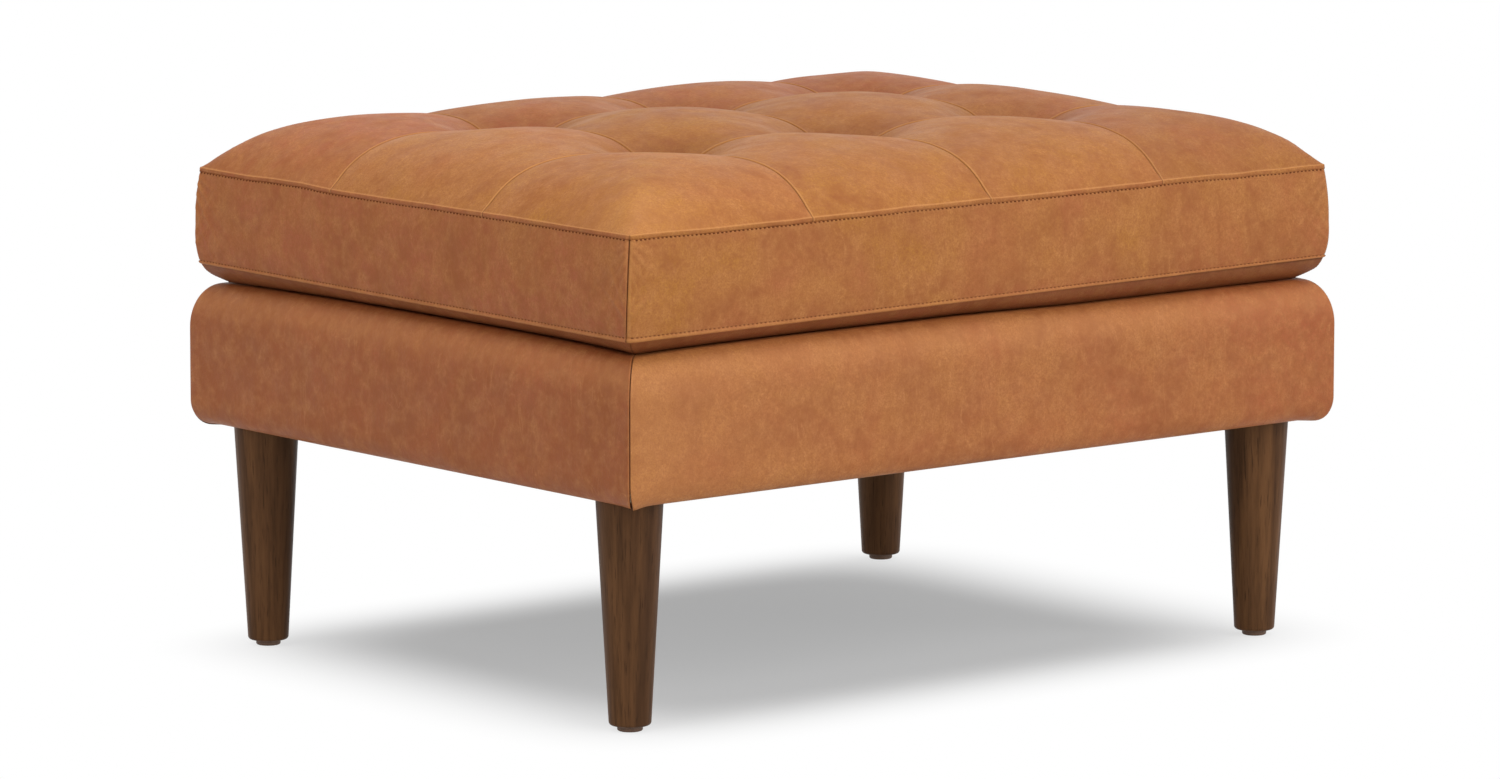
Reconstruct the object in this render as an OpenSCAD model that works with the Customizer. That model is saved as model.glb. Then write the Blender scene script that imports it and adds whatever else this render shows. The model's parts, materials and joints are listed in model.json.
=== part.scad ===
// Tufted leather ottoman: a loose boxed cushion on an upholstered wooden base with four turned legs.
// Millimetres. The origin is on the floor under the middle of the base, +Z is up and the front faces -Y.

/* [Base] */
// Length of the upholstered base
base_w = 810; // [720:1:960]
// Depth of the upholstered base
base_d = 637; // [570:1:760]
// Height of the upholstered base
base_h = 126; // [116:1:160]
// Width of the rounded top edge
edge_in = 22; // [12:1:25]
// Height of the rounded top edge
edge_drop = 40; // [24:1:55]
// Width of the rounded bottom edge
under_r = 13; // [6:0.5:18]
// Height of the rounded bottom edge
under_up = 20; // [8:0.5:28]

/* [Legs] */
// Floor to the underside of the base
leg_h = 200; // [150:1:260]
// Diameter of a leg under the base
leg_top_d = 58; // [44:1:64]
// Diameter of a leg at its foot
leg_foot_d = 36.5; // [30:0.5:44]
// Radius of the rounded foot edge
foot_r = 3; // [1:0.5:5]
// Leg axis from the inner face of the side rail
leg_off_x = 13; // [12:0.5:24]
// Leg axis from the inner face of the front or rear rail
leg_off_y = 25; // [16:0.5:32]
// Diameter of a floor glide
glide_d = 22; // [18:0.5:26]
// Thickness of a floor glide
glide_t = 5; // [3:0.5:7]
// Diameter of the nail of a floor glide
nail_d = 3; // [2:0.1:4]
// Length of the nail of a floor glide
nail_l = 18; // [12:1:24]

/* [Leg fixings] */
// Diameter of the bolt in the top of a leg
bolt_d = 8; // [6:0.5:10]
// Depth of the bolt in the leg
bolt_depth = 42; // [30:1:60]
// Length of bolt above its nut
bolt_proud = 6; // [2:0.5:12]
// Diameter of the barrel of a T-nut
barrel_d = 11; // [10.5:0.1:13]
// Length of the barrel of a T-nut
barrel_l = 12; // [8:0.5:20]
// Diameter of the flange of a T-nut
flange_d = 20; // [16:0.5:23]
// Thickness of the flange of a T-nut
flange_t = 1.6; // [1:0.1:3]

/* [Frame] */
// Thickness of a rail
rail_t = 18; // [14:0.5:22]
// Side of a corner block along a rail
block_side = 90; // [80:1:110]
// Cut-off width of a corner block
block_nose = 20; // [12:1:28]
// Height of a corner block
block_h = 46; // [36:1:70]
// Thickness of the middle stretcher
stretcher_t = 20; // [14:0.5:30]
// Height of the middle stretcher
stretcher_h = 60; // [40:1:75]
// Diameter of a frame screw
screw_d = 4.5; // [3:0.1:6]
// Diameter of the head of a frame screw
screw_head_d = 9; // [7:0.1:11]
// Length of a frame screw
screw_l = 40; // [30:1:45]
// Screw from the end of its block or stretcher
screw_edge = 13; // [9:0.5:16]
// Screw from the inner face of the rail at the corner
screw_off = 46; // [42:0.5:52]

/* [Seat deck] */
// Width of a webbing strap
strap_w = 60; // [40:1:75]
// Thickness of a webbing strap
strap_t = 1.6; // [1:0.1:2.5]
// Straps along the base
long_straps = 4; // [3:1:5]
// Straps across the base
cross_straps = 5; // [4:1:6]
// Thickness of the cloth over the webbing
deck_cloth_t = 0.8; // [0.5:0.1:2]
// Thickness of the deck foam
deck_foam_t = 20; // [14:0.5:26]

/* [Covers] */
// Thickness of the leather
cover_t = 1.5; // [1:0.1:2.2]
// Thickness of the padding on a rail
pad_t = 12; // [9:0.5:16]
// Reach of the leather over the deck
cover_lap = 70; // [50:1:110]
// Reach of the leather under the rails
cover_return = 32; // [24:1:36]
// Thickness of the dust cover
dust_t = 0.8; // [0.4:0.1:1.5]
// Edge of the dust cover from the face of the base
dust_in = 18; // [14:0.5:22]

/* [Cushion] */
// Length of the cushion
cushion_w = 804; // [720:1:940]
// Depth of the cushion
cushion_d = 628; // [560:1:750]
// Rise of the lower seam above the deck
under_rise = 19; // [12:0.5:28]
// Width of the drawn-up rim under the lower seam
under_in = 21; // [14:0.5:32]
// Roundness of that rim, from a straight bevel to a quarter ellipse
under_round = 0.35; // [0.2:0.05:1]
// Width of the ring inside the rim where the cushion eases down onto the deck
ease_in = 32; // [10:1:60]
// Height of that ring above the deck at the rim
ease_up = 3.5; // [0:0.5:6]
// Height of the border between its two seams
border_h = 85; // [64:1:110]
// Bulge of the border
border_bulge = 2.9; // [1:0.1:4]
// Lower seam in from the widest part
low_in = 2; // [1:0.5:4]
// Upper seam in from the widest part
top_in = 4; // [2:0.5:8]
// Height of the crown above the upper seam
crown_h = 48; // [30:1:60]
// Distance over which the crown rises
crown_run = 35; // [25:1:50]
// Swell of an inner panel between its seams
panel_puff = 8.5; // [0:0.5:12]
// Distance from the border over which the swell of the panels grows
puff_run = 200; // [120:5:260]
// Distance between the seams along the cushion
column_pitch = 200; // [170:1:215]
// Distance between the seams across the cushion
row_pitch = 218; // [170:1:230]
// Depth of a sewn seam
seam_drop = 3; // [1:0.5:4]
// Width of a sewn seam's channel
seam_run = 8; // [5:0.5:10]

/* [Tufts] */
// Depth of a tuft
tuft_drop = 38; // [20:1:48]
// Radius over which a tuft draws the top in
tuft_run = 43; // [30:1:55]
// Diameter of the tufting twine
twine_d = 1.6; // [1:0.1:2.4]
// Diameter of the knot under an anchor
knot_d = 4; // [3.5:0.1:6]
// Diameter of an anchor button
anchor_d = 28; // [20:0.5:36]
// Thickness of an anchor button
anchor_t = 4; // [3.5:0.1:6]

/* [Cushion filling] */
// Thickness of the foam core
core_t = 75; // [60:1:85]
// Room between the fibre wrap and the leather top
wrap_room = 4.5; // [4:0.5:7]

/* [Zip] */
// Length of the zip opening
zip_l = 620; // [480:1:640]
// Height of the zip opening
zip_gap = 14; // [13:0.5:18]
// Middle of the zip above the lower seam
zip_rise = 38; // [32:1:46]
// Height of a turned hem beside the zip
hem_h = 12; // [9:0.5:14]
// Width of the zip's two tapes together
tape_w = 32; // [28:0.5:36]
// Thickness of a zip tape
tape_t = 0.6; // [0.4:0.1:0.9]
// Width of the closed teeth
chain_w = 6; // [4:0.5:7]
// Thickness of the teeth
chain_t = 2.2; // [1.6:0.1:2.4]
// Distance between two teeth of one row
tooth_pitch = 5; // [4:0.5:8]
// Length of the slider
slider_l = 14; // [12:0.5:18]
// Thickness of the slider's plate and walls
slider_t = 1.2; // [0.8:0.1:1.3]
// Length of the pull
pull_l = 26; // [20:1:36]
// Width of the pull
pull_w = 6.4; // [5.8:0.1:8]
// Thickness of the pull
pull_t = 1.4; // [1:0.1:1.6]
// Diameter of the pull's pin
pin_d = 1.8; // [1.4:0.1:2]

/* [Hidden] */
// Gap between soft layers
soft_gap = 0.3;
// Gap between two panels at a seam
seam_gap = 0.3;
// Radial clearance of bolts, nuts, screws and nails
fit = 0.1;
// Running clearance of the zip's slider and pull
run_fit = 0.25;
// Radial clearance of the pull's pin
pin_fit = 0.05;
// Metal left around the pull's pin
pin_wall = 1;
// Steps along a quarter of a rounded edge, or along the border
edge_steps = 8;
// Sharpness of the crown's corners
corner_power = 4.6;
// Sharpness of a tuft
tuft_power = 1.43;
// Stations across one sewn panel, as shares of its width
panel_shares = [0, 0.06, 0.22, 0.5, 0.78, 0.94, 1];
// Half the square hole for the twine in the fibre wrap
twine_room = 2;
// Teeth end short of the zip opening
chain_end = 8;
// Tapes run on past the zip opening
tape_end = 10;
// Half the slit between the two tapes
tape_slit = 0.5;
// Width of the bead that carries a row of teeth
bead_w = 1;
// Width of the slider's lug
lug_w = 2;
// Share of a rail's thickness under the end of a strap
strap_hold = 0.8;
// Run of a strap from one crossing to the next level, in strap thicknesses
strap_slope = 4;
// Room around a bolt in the dust cover
dust_room = 0.5;
// Diameter of the tip of a leg bolt
bolt_tip_d = 4;
// Bevel at the upper end of a leg bolt
bolt_bevel = 1;
// Share of a glide's thickness that is rounded
glide_round = 1 / 3;
// Overshoot of a cut past the face it opens
cut = 1;
$fn = 48;

// Heights of the base, from the floor up
leg_z = leg_h - dust_t;
rail_z = leg_h + cover_t;
deck_z = leg_h + base_h;
foam_z = deck_z - cover_t - deck_foam_t;
cloth_z = foam_z - deck_cloth_t;
web_z = cloth_z - 2 * strap_t - soft_gap;
rail_h = web_z - rail_z;
block_z = rail_z + block_h;

// Rails, from the faces of the base inwards
rail_out = cover_t + pad_t;
rail_in = rail_out + rail_t;
bottom_in = min(under_r, rail_out);
frame_w = base_w - 2 * rail_out;
frame_d = base_d - 2 * rail_out;
inner_w = base_w - 2 * rail_in;
inner_d = base_d - 2 * rail_in;
leg_x = inner_w / 2 - leg_off_x;
leg_y = inner_d / 2 - leg_off_y;

// Heights of the cushion
cushion_z = deck_z + soft_gap;
low_seam_z = cushion_z + under_rise;
top_seam_z = low_seam_z + border_h;
core_z = cushion_z + cover_t + soft_gap;
wrap_z = core_z + core_t;
tall = top_seam_z + 2 * crown_h;

// Cushion plan
core_in = max(low_in, top_in) + cover_t + 2 * soft_gap;
top_x = cushion_w / 2 - top_in;
top_y = cushion_d / 2 - top_in;
seams_x = [for (i = [-1 : 1]) i * column_pitch];
seams_y = [for (s = [-1, 1]) s * row_pitch / 2];
lines_x = concat([-top_x], seams_x, [top_x]);
lines_y = concat([-top_y], seams_y, [top_y]);
tufts = [for (x = seams_x, y = seams_y) [x, y]];

// Zip, measured inwards from the widest part of the rear border
zip_z = low_seam_z + zip_rise;
zip_u = border_u(zip_rise / border_h);
tape_u = zip_u + 2 * cover_t + soft_gap;
plate_u = tape_u - chain_t - run_fit;
slider_w = chain_w + 2 * (run_fit + slider_t);
slider_x = -(zip_l / 2 - chain_end - slider_l / 2);
lug_r = pin_d / 2 + pin_fit + pin_wall;
pin_u = plate_u - slider_t - lug_r + pin_fit;

CORNERS = [[-1, -1], [1, -1], [-1, 1], [1, 1]];
leather = "#b8763f";
base_leather = "#ad6a38";
birch = "#d8b88a";
walnut = "#4a3526";
zinc = "#b9bcc0";
foam = "#e8ddb8";
fibre = "#f3f1ea";
jute = "#b59a6a";
cotton = "#7a5234";
cloth = "#2b2a2a";
nylon = "#6b5038";
antique = "#8a6f45";

// Points of an elliptical arc about [cx, cz]
function arc(cx, cz, rx, rz, from, to, steps = edge_steps) =
    [for (i = [0 : steps]) let (a = from + (to - from) * i / steps) [cx + rx * cos(a), cz + rz * sin(a)]];

// Sides of a rectangular body: turn about Z, length and distance of the face from the middle
function along_x(side) = side == "front" || side == "rear";
function side_turn(side) = side == "front" ? 0 : side == "rear" ? 180 : side == "left" ? -90 : 90;
function side_length(side, w, d) = along_x(side) ? w : d;
function side_reach(side, w, d) = along_x(side) ? d / 2 : w / 2;

// Puts children, drawn with +Y pointing inwards from a face at y = 0, on one side of a body
module on_side(side, w, d) {
    rotate([0, 0, side_turn(side)])
        translate([0, -side_reach(side, w, d), 0])
            children();
}

// A strip of the given cross-section along one side, mitred where it meets the next side
module mitred_strip(side, w, d, depth) {
    half = side_length(side, w, d) / 2 - seam_gap / 2;
    on_side(side, w, d)
        intersection() {
            rotate([90, 0, 90])
                linear_extrude(height = 2 * (half + depth), center = true)
                    children();
            linear_extrude(height = tall)
                polygon([
                    [-half - depth, -depth], [half + depth, -depth],
                    [half - depth, depth], [depth - half, depth]
                ]);
        }
}

// The base's cross-section at one side, shrunk by an inset: inwards distance and height
module base_section(inset) {
    deep = base_d / 2;
    polygon(concat(
        [[deep, deck_z - inset]],
        arc(edge_in, deck_z - edge_drop, edge_in - inset, edge_drop - inset, 90, 180),
        arc(bottom_in, leg_h + under_up, bottom_in - inset, under_up - inset, 180, 270),
        [[deep, leg_h + inset]]
    ));
}

// Leather on one side of the base, from the deck round the rail to its underside
module base_cover(side) {
    middle_z = leg_h + base_h / 2;
    color(base_leather)
        mitred_strip(side, base_w, base_d, cover_lap + edge_in)
            intersection() {
                difference() {
                    base_section(0);
                    base_section(cover_t);
                }
                union() {
                    translate([0, middle_z])
                        square([cover_lap, base_h]);
                    translate([0, leg_h])
                        square([cover_return, middle_z - leg_h]);
                }
            }
}

// Foam on one side of the base, rolled over the top of the rail
module base_padding(side) {
    shelf_z = foam_z + soft_gap;
    color(foam)
        mitred_strip(side, base_w, base_d, rail_in + edge_in)
            intersection() {
                base_section(cover_t + soft_gap);
                union() {
                    square([rail_out, deck_z]);
                    translate([0, shelf_z])
                        square([rail_in, base_h]);
                }
            }
}

// One countersunk screw pointing along +Z with its head at z = 0
module screw(room = 0) {
    head_h = (screw_head_d - screw_d) / 2;
    rotate_extrude()
        polygon([
            [0, -room], [screw_head_d / 2 + room, -room], [screw_head_d / 2 + room, 0],
            [screw_d / 2 + room, head_h], [screw_d / 2 + room, screw_l - screw_d], [0, screw_l + room]
        ]);
}

// Every frame screw: two through each rail into each corner block, two into each end of the stretcher
module all_screws(room = 0) {
    for (c = CORNERS, z = [rail_z + screw_edge, block_z - screw_edge]) {
        translate([c[0] * (inner_w / 2 - screw_off), c[1] * frame_d / 2, z])
            rotate([c[1] * 90, 0, 0])
                screw(room);
        translate([c[0] * frame_w / 2, c[1] * (inner_d / 2 - screw_off), z])
            rotate([0, -c[0] * 90, 0])
                screw(room);
    }
    for (s = [-1, 1], z = [rail_z + screw_edge, rail_z + stretcher_h - screw_edge])
        translate([0, s * frame_d / 2, z])
            rotate([s * 90, 0, 0])
                screw(room);
}

module long_rail(s) {
    color(birch)
        difference() {
            translate([-frame_w / 2, s * (frame_d - rail_t) / 2 - rail_t / 2, rail_z])
                cube([frame_w, rail_t, rail_h]);
            all_screws(fit);
        }
}

module short_rail(s) {
    color(birch)
        difference() {
            translate([s * (frame_w - rail_t) / 2 - rail_t / 2, -inner_d / 2, rail_z])
                cube([rail_t, inner_d, rail_h]);
            all_screws(fit);
        }
}

module middle_stretcher() {
    color(birch)
        difference() {
            translate([-stretcher_t / 2, -inner_d / 2, rail_z])
                cube([stretcher_t, inner_d, stretcher_h]);
            all_screws(fit);
        }
}

// Block glued and screwed into a corner of the frame, bored for the leg's nut
module corner_block(c) {
    outline = [
        [0, 0], [block_side, 0], [block_side, block_nose], [block_nose, block_side], [0, block_side]
    ];
    color(birch)
        difference() {
            translate([c[0] * inner_w / 2, c[1] * inner_d / 2, rail_z])
                linear_extrude(height = block_h)
                    polygon([for (p = outline) [-c[0] * p[0], -c[1] * p[1]]]);
            translate([c[0] * leg_x, c[1] * leg_y, rail_z - cut])
                cylinder(d = barrel_d + 2 * fit, h = block_h + 2 * cut);
            all_screws(fit);
        }
}

module frame_screws() {
    color(zinc)
        all_screws();
}

module on_legs() {
    for (c = CORNERS)
        translate([c[0] * leg_x, c[1] * leg_y, 0])
            children();
}

// Flanged nuts pressed into the corner blocks from above
module t_nuts() {
    color(zinc)
        on_legs()
            difference() {
                union() {
                    translate([0, 0, block_z - barrel_l])
                        cylinder(d = barrel_d, h = barrel_l + flange_t);
                    translate([0, 0, block_z])
                        cylinder(d = flange_d, h = flange_t);
                }
                translate([0, 0, block_z - barrel_l - cut])
                    cylinder(d = bolt_d + 2 * fit, h = barrel_l + flange_t + 2 * cut);
            }
}

// Bolts with a pointed wood thread in the leg and a machine thread in the nut
module hanger_bolts() {
    bolt_l = block_z + flange_t + bolt_proud - (leg_z - bolt_depth);
    color(zinc)
        on_legs()
            translate([0, 0, leg_z - bolt_depth])
                rotate_extrude()
                    polygon([
                        [0, 0], [bolt_tip_d / 2, 0], [bolt_d / 2, bolt_d], [bolt_d / 2, bolt_l - bolt_bevel],
                        [bolt_d / 2 - bolt_bevel, bolt_l], [0, bolt_l]
                    ]);
}

// Turned leg, tapered to a foot with a rounded edge
module leg(c) {
    foot = leg_foot_d / 2;
    color(walnut)
        translate([c[0] * leg_x, c[1] * leg_y, 0])
            difference() {
                rotate_extrude()
                    polygon(concat(
                        [[0, glide_t]],
                        arc(foot - foot_r, glide_t + foot_r, foot_r, foot_r, -90, 0),
                        [[leg_top_d / 2, leg_z], [0, leg_z]]
                    ));
                translate([0, 0, leg_z - bolt_depth - fit])
                    cylinder(d = bolt_d + 2 * fit, h = bolt_depth + cut);
                translate([0, 0, glide_t - cut])
                    cylinder(d = nail_d + 2 * fit, h = nail_l + cut + fit);
            }
}

// Moulded glides nailed under the feet
module floor_glides() {
    lip = glide_t * glide_round;
    color(nylon)
        on_legs()
            rotate_extrude()
                polygon(concat(
                    [[0, 0]],
                    arc(glide_d / 2 - lip, lip, lip, lip, -90, 0),
                    [
                        [glide_d / 2, glide_t], [nail_d / 2, glide_t],
                        [nail_d / 2, glide_t + nail_l], [0, glide_t + nail_l]
                    ]
                ));
}

// Middle of strap number i of n across a span
function strap_at(i, n, span) = (i - (n - 1) / 2) * span / n;

// Side view of a strap that passes over and under the straps it crosses: distance along and height
module strap_wave(half, n, span, over) {
    flat = strap_w / 2 + strap_slope * strap_t;
    low = web_z;
    high = web_z + strap_t + soft_gap;
    crossings = [
        for (k = [0 : n - 1], e = [-1, 1])
            [strap_at(k, n, span) + e * flat, (k + over) % 2 == 0 ? high : low]
    ];
    path = concat([[-half, low]], crossings, [[half, low]]);
    last = len(path) - 1;
    polygon(concat(path, [for (i = [last : -1 : 0]) path[i] + [0, strap_t]]));
}

module long_webbing() {
    color(jute)
        for (i = [0 : long_straps - 1])
            translate([0, strap_at(i, long_straps, inner_d), 0])
                rotate([90, 0, 0])
                    linear_extrude(height = strap_w, center = true)
                        strap_wave(inner_w / 2 + rail_t * strap_hold, cross_straps, inner_w, i);
}

module cross_webbing() {
    color(jute)
        for (i = [0 : cross_straps - 1])
            translate([strap_at(i, cross_straps, inner_w), 0, 0])
                rotate([90, 0, 90])
                    linear_extrude(height = strap_w, center = true)
                        strap_wave(inner_d / 2 + rail_t * strap_hold, long_straps, inner_d, i + 1);
}

// A flat sheet centred on the base, inset from its faces
module sheet(inset, z, t) {
    translate([inset - base_w / 2, inset - base_d / 2, z])
        cube([base_w - 2 * inset, base_d - 2 * inset, t]);
}

module deck_cloth() {
    color(fibre)
        sheet(rail_out + soft_gap, cloth_z, deck_cloth_t);
}

module deck_foam() {
    color(foam)
        sheet(rail_in + soft_gap, foam_z, deck_foam_t);
}

module deck_panel() {
    color(cotton)
        sheet(cover_lap + seam_gap, deck_z - cover_t, cover_t);
}

// Thin cloth under the base, pierced by the leg bolts
module dust_cover() {
    color(cloth)
        difference() {
            sheet(dust_in, leg_z, dust_t);
            on_legs()
                translate([0, 0, leg_z - cut])
                    cylinder(d = bolt_d + 2 * dust_room, h = dust_t + 2 * cut);
        }
}

// Distance of the border in from its widest part, at a share of its height
function border_u(t) = low_in + (top_in - low_in) * t - 4 * border_bulge * t * (1 - t);

// Cross-section of the cushion's border
module border_section() {
    h = border_h - cover_t - seam_gap;
    face = [
        for (i = [0 : edge_steps])
            let (t = i / edge_steps)
            [border_u(t), low_seam_z + seam_gap / 2 + h * t]
    ];
    back = [for (i = [edge_steps : -1 : 0]) face[i] + [cover_t, 0]];
    polygon(concat(face, back));
}

module cushion_border(side) {
    color(leather)
        mitred_strip(side, cushion_w, cushion_d, under_in)
            border_section();
}

module on_zip() {
    on_side("rear", cushion_w, cushion_d)
        translate([0, 0, zip_z])
            children();
}

// Rear border, with a zip opening between two turned hems
module cushion_border_rear() {
    color(leather)
        difference() {
            union() {
                mitred_strip("rear", cushion_w, cushion_d, under_in)
                    border_section();
                on_zip()
                    translate([-zip_l / 2, zip_u + cover_t / 2, -zip_gap / 2 - hem_h])
                        cube([zip_l, tape_u - zip_u - cover_t / 2, zip_gap + 2 * hem_h]);
            }
            on_zip()
                translate([-zip_l / 2, -under_in, -zip_gap / 2])
                    cube([zip_l, 2 * under_in, zip_gap]);
        }
}

// Side view of the cushion's lower half: straight sides and a drawn-up rim, shrunk by an inset
module under_profile(half, side_in, inset, up) {
    rim = low_in + under_in;
    rest = half - rim - ease_in;
    quarter = arc(half - rim, low_seam_z, under_in - inset, under_rise - ease_up - inset, -90, 0);
    bevel = quarter[edge_steps] - quarter[0];
    curve = [
        for (i = [0 : edge_steps])
            let (straight = quarter[0] + bevel * i / edge_steps)
            straight + (quarter[i] - straight) * under_round
    ];
    x = half - side_in;
    intersection() {
        polygon(concat(
            [[rest, cushion_z + inset]], curve, [[half - low_in - inset, up], [low_in + inset - half, up]],
            [for (i = [edge_steps : -1 : 0]) [-curve[i][0], curve[i][1]]], [[-rest, cushion_z + inset]]
        ));
        translate([-x, 0])
            square([2 * x, 2 * up]);
    }
}

// The same profile along both directions, mitred at the corners
module under_block(side_in, inset, up) {
    intersection() {
        rotate([90, 0, 0])
            linear_extrude(height = cushion_d, center = true)
                under_profile(cushion_w / 2, side_in, inset, up);
        rotate([90, 0, 90])
            linear_extrude(height = cushion_w, center = true)
                under_profile(cushion_d / 2, side_in, inset, up);
    }
}

// Bottom panel of the cushion, drawn up at its rim to the lower seam
module cushion_underside() {
    color(leather)
        difference() {
            under_block(low_in, 0, low_seam_z);
            under_block(low_in + cover_t, cover_t, low_seam_z + cut);
        }
}

module on_tufts() {
    for (t = tufts)
        translate([t[0], t[1], 0])
            children();
}

// Foam slab, with the twine holes and the recesses of the anchors
module foam_core() {
    color(foam)
        difference() {
            under_block(core_in, cover_t + soft_gap, wrap_z);
            on_tufts() {
                translate([0, 0, cushion_z])
                    cylinder(d = twine_d + 4 * soft_gap, h = tall);
                translate([0, 0, cushion_z])
                    cylinder(d = anchor_d + 2 * soft_gap, h = cover_t + anchor_t + soft_gap);
            }
        }
}

// Share of the panel at v between the two lines around it
function panel_share(v, lines) =
    let (k = [for (i = [0 : len(lines) - 2]) if (v >= lines[i] && v <= lines[i + 1]) i][0])
    (v - lines[k]) / (lines[k + 1] - lines[k]);

// How far the edge at distance e still holds the top down
function edge_hold(e) = exp(-max(0, e) / crown_run);

function crown(x, y) =
    let (
        hold_x = pow(edge_hold(top_x - abs(x)), corner_power),
        hold_y = pow(edge_hold(top_y - abs(y)), corner_power)
    )
    crown_h * max(0, 1 - pow(hold_x + hold_y - hold_x * hold_y, 1 / corner_power));

// How far the panels at distance e from the border are free to swell
function swell_share(e) = min(1, max(0, e) / puff_run);

function swell(x, y) =
    panel_puff * swell_share(top_x - abs(x)) * swell_share(top_y - abs(y))
        * sin(180 * panel_share(x, lines_x)) * sin(180 * panel_share(y, lines_y));

function tuft_dip(x, y) =
    let (dips = [for (t = tufts) tuft_drop * exp(-pow(norm([x - t[0], y - t[1]]) / tuft_run, tuft_power))])
    dips * [for (t = tufts) 1];

// A seam's channel runs out where the crown meets the border
function seam_dip(x, y) =
    let (away = min(concat([for (s = seams_x) abs(x - s)], [for (s = seams_y) abs(y - s)])))
    seam_drop * max(0, 1 - away / seam_run) * crown(x, y) / crown_h;

// Height of the padded top, without and with the channels of its seams
function padded_top(x, y) = top_seam_z + crown(x, y) + swell(x, y) - tuft_dip(x, y);
function sewn_top(x, y) = padded_top(x, y) - seam_dip(x, y);

// A closed solid between two heights over a grid, without the cells that hole(x, y) names
module grid_solid(xs, ys, high, low, hole = function(x, y) false) {
    nx = len(xs);
    ny = len(ys);
    top = function(i, j) i * ny + j;
    base = function(i, j) nx * ny + i * ny + j;
    kept = function(i, j) i >= 0 && j >= 0 && i < nx - 1 && j < ny - 1
        && !hole((xs[i] + xs[i + 1]) / 2, (ys[j] + ys[j + 1]) / 2);
    quad = function(a, b, c, d) [[a, b, c], [a, c, d]];
    wall = function(i, j, m, n) quad(top(i, j), top(m, n), base(m, n), base(i, j));
    points = concat(
        [for (x = xs, y = ys) [x, y, high(x, y)]],
        [for (x = xs, y = ys) [x, y, low(x, y)]]
    );
    faces = [
        for (i = [0 : nx - 2], j = [0 : ny - 2]) if (kept(i, j))
            each concat(
                quad(top(i, j), top(i, j + 1), top(i + 1, j + 1), top(i + 1, j)),
                quad(base(i, j), base(i + 1, j), base(i + 1, j + 1), base(i, j + 1)),
                kept(i, j - 1) ? [] : wall(i, j, i + 1, j),
                kept(i, j + 1) ? [] : wall(i + 1, j + 1, i, j + 1),
                kept(i - 1, j) ? [] : wall(i, j + 1, i, j),
                kept(i + 1, j) ? [] : wall(i + 1, j, i + 1, j + 1)
            )
    ];
    polyhedron(points, faces);
}

// Stations of the panel between lines i and i + 1, held back from the seams it shares
function panel_stations(lines, i) =
    let (
        from = lines[i] + (i > 0 ? seam_gap / 2 : 0),
        to = lines[i + 1] - (i < len(lines) - 2 ? seam_gap / 2 : 0)
    )
    [for (s = panel_shares) from + (to - from) * s];

// Leather panels of the top, sewn along their seams
module cushion_top() {
    color(leather)
        for (i = [0 : len(lines_x) - 2], j = [0 : len(lines_y) - 2])
            grid_solid(
                panel_stations(lines_x, i), panel_stations(lines_y, j),
                function(x, y) sewn_top(x, y), function(x, y) sewn_top(x, y) - cover_t
            );
}

// Stations of the fibre wrap: the panels' own, with a narrow cell at each seam and ends inside the border
function wrap_stations(lines, in) =
    let (last = len(lines) - 2)
    [
        for (i = [0 : last], s = panel_shares)
            let (
                from = i == 0 ? lines[i] + in : lines[i] + twine_room,
                to = i == last ? lines[i + 1] - in : lines[i + 1] - twine_room
            )
            from + (to - from) * s
    ];

function near_tuft(x, y) = min([for (t = tufts) norm([x - t[0], y - t[1]])]) < twine_room / 2;

// Fibre wrap that fills the crown above the foam, open at the tufts
module fibre_wrap() {
    in = core_in - top_in;
    color(fibre)
        grid_solid(
            wrap_stations(lines_x, in), wrap_stations(lines_y, in),
            function(x, y) padded_top(x, y) - cover_t - wrap_room, function(x, y) wrap_z,
            function(x, y) near_tuft(x, y)
        );
}

// Buttons inside the cushion's bottom that the twine pulls against
module tuft_anchors() {
    color(birch)
        on_tufts()
            translate([0, 0, cushion_z + cover_t])
                difference() {
                    cylinder(d = anchor_d, h = anchor_t);
                    translate([0, 0, -cut])
                        cylinder(d = twine_d + 2 * fit, h = anchor_t + 2 * cut);
                    translate([0, 0, -cut])
                        cylinder(d = knot_d + 2 * fit, h = anchor_t / 2 + cut);
                }
}

// Twine from a knot under each anchor up to the crossing of the seams
module tuft_twines() {
    tuft_z = sewn_top(tufts[0][0], tufts[0][1]) - cover_t - soft_gap;
    low = cushion_z + cover_t;
    color(jute)
        on_tufts()
            translate([0, 0, low]) {
                cylinder(d = twine_d, h = tuft_z - low);
                cylinder(d = knot_d, h = anchor_t / 2 - fit);
            }
}

module zip_tapes() {
    color(cloth)
        on_zip()
            for (s = [0, 1])
                mirror([0, 0, s])
                    translate([-zip_l / 2 - tape_end, tape_u, tape_slit])
                        cube([zip_l + 2 * tape_end, tape_t, tape_w / 2 - tape_slit]);
}

// One row of teeth on a bead, in the plane of the zip
module tooth_row(first) {
    half = zip_l / 2 - chain_end;
    side = chain_w / 2;
    root = side - bead_w;
    tip = root - soft_gap;
    tooth = tooth_pitch / 2 - soft_gap;
    count = floor((2 * half - first - tooth) / tooth_pitch);
    edge = [
        for (k = [0 : count])
            let (x = first - half + k * tooth_pitch)
            each [[x, root], [x, -tip], [x + tooth, -tip], [x + tooth, root]]
    ];
    polygon(concat([[-half, side], [-half, root]], edge, [[half, root], [half, side]]));
}

// Two rows of moulded teeth that mesh along the middle of the zip
module zip_teeth() {
    color(antique)
        on_zip()
            translate([0, tape_u, 0])
                rotate([90, 0, 0])
                    linear_extrude(height = chain_t) {
                        tooth_row(soft_gap);
                        mirror([0, 1])
                            tooth_row(soft_gap + tooth_pitch / 2);
                    }
}

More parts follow.
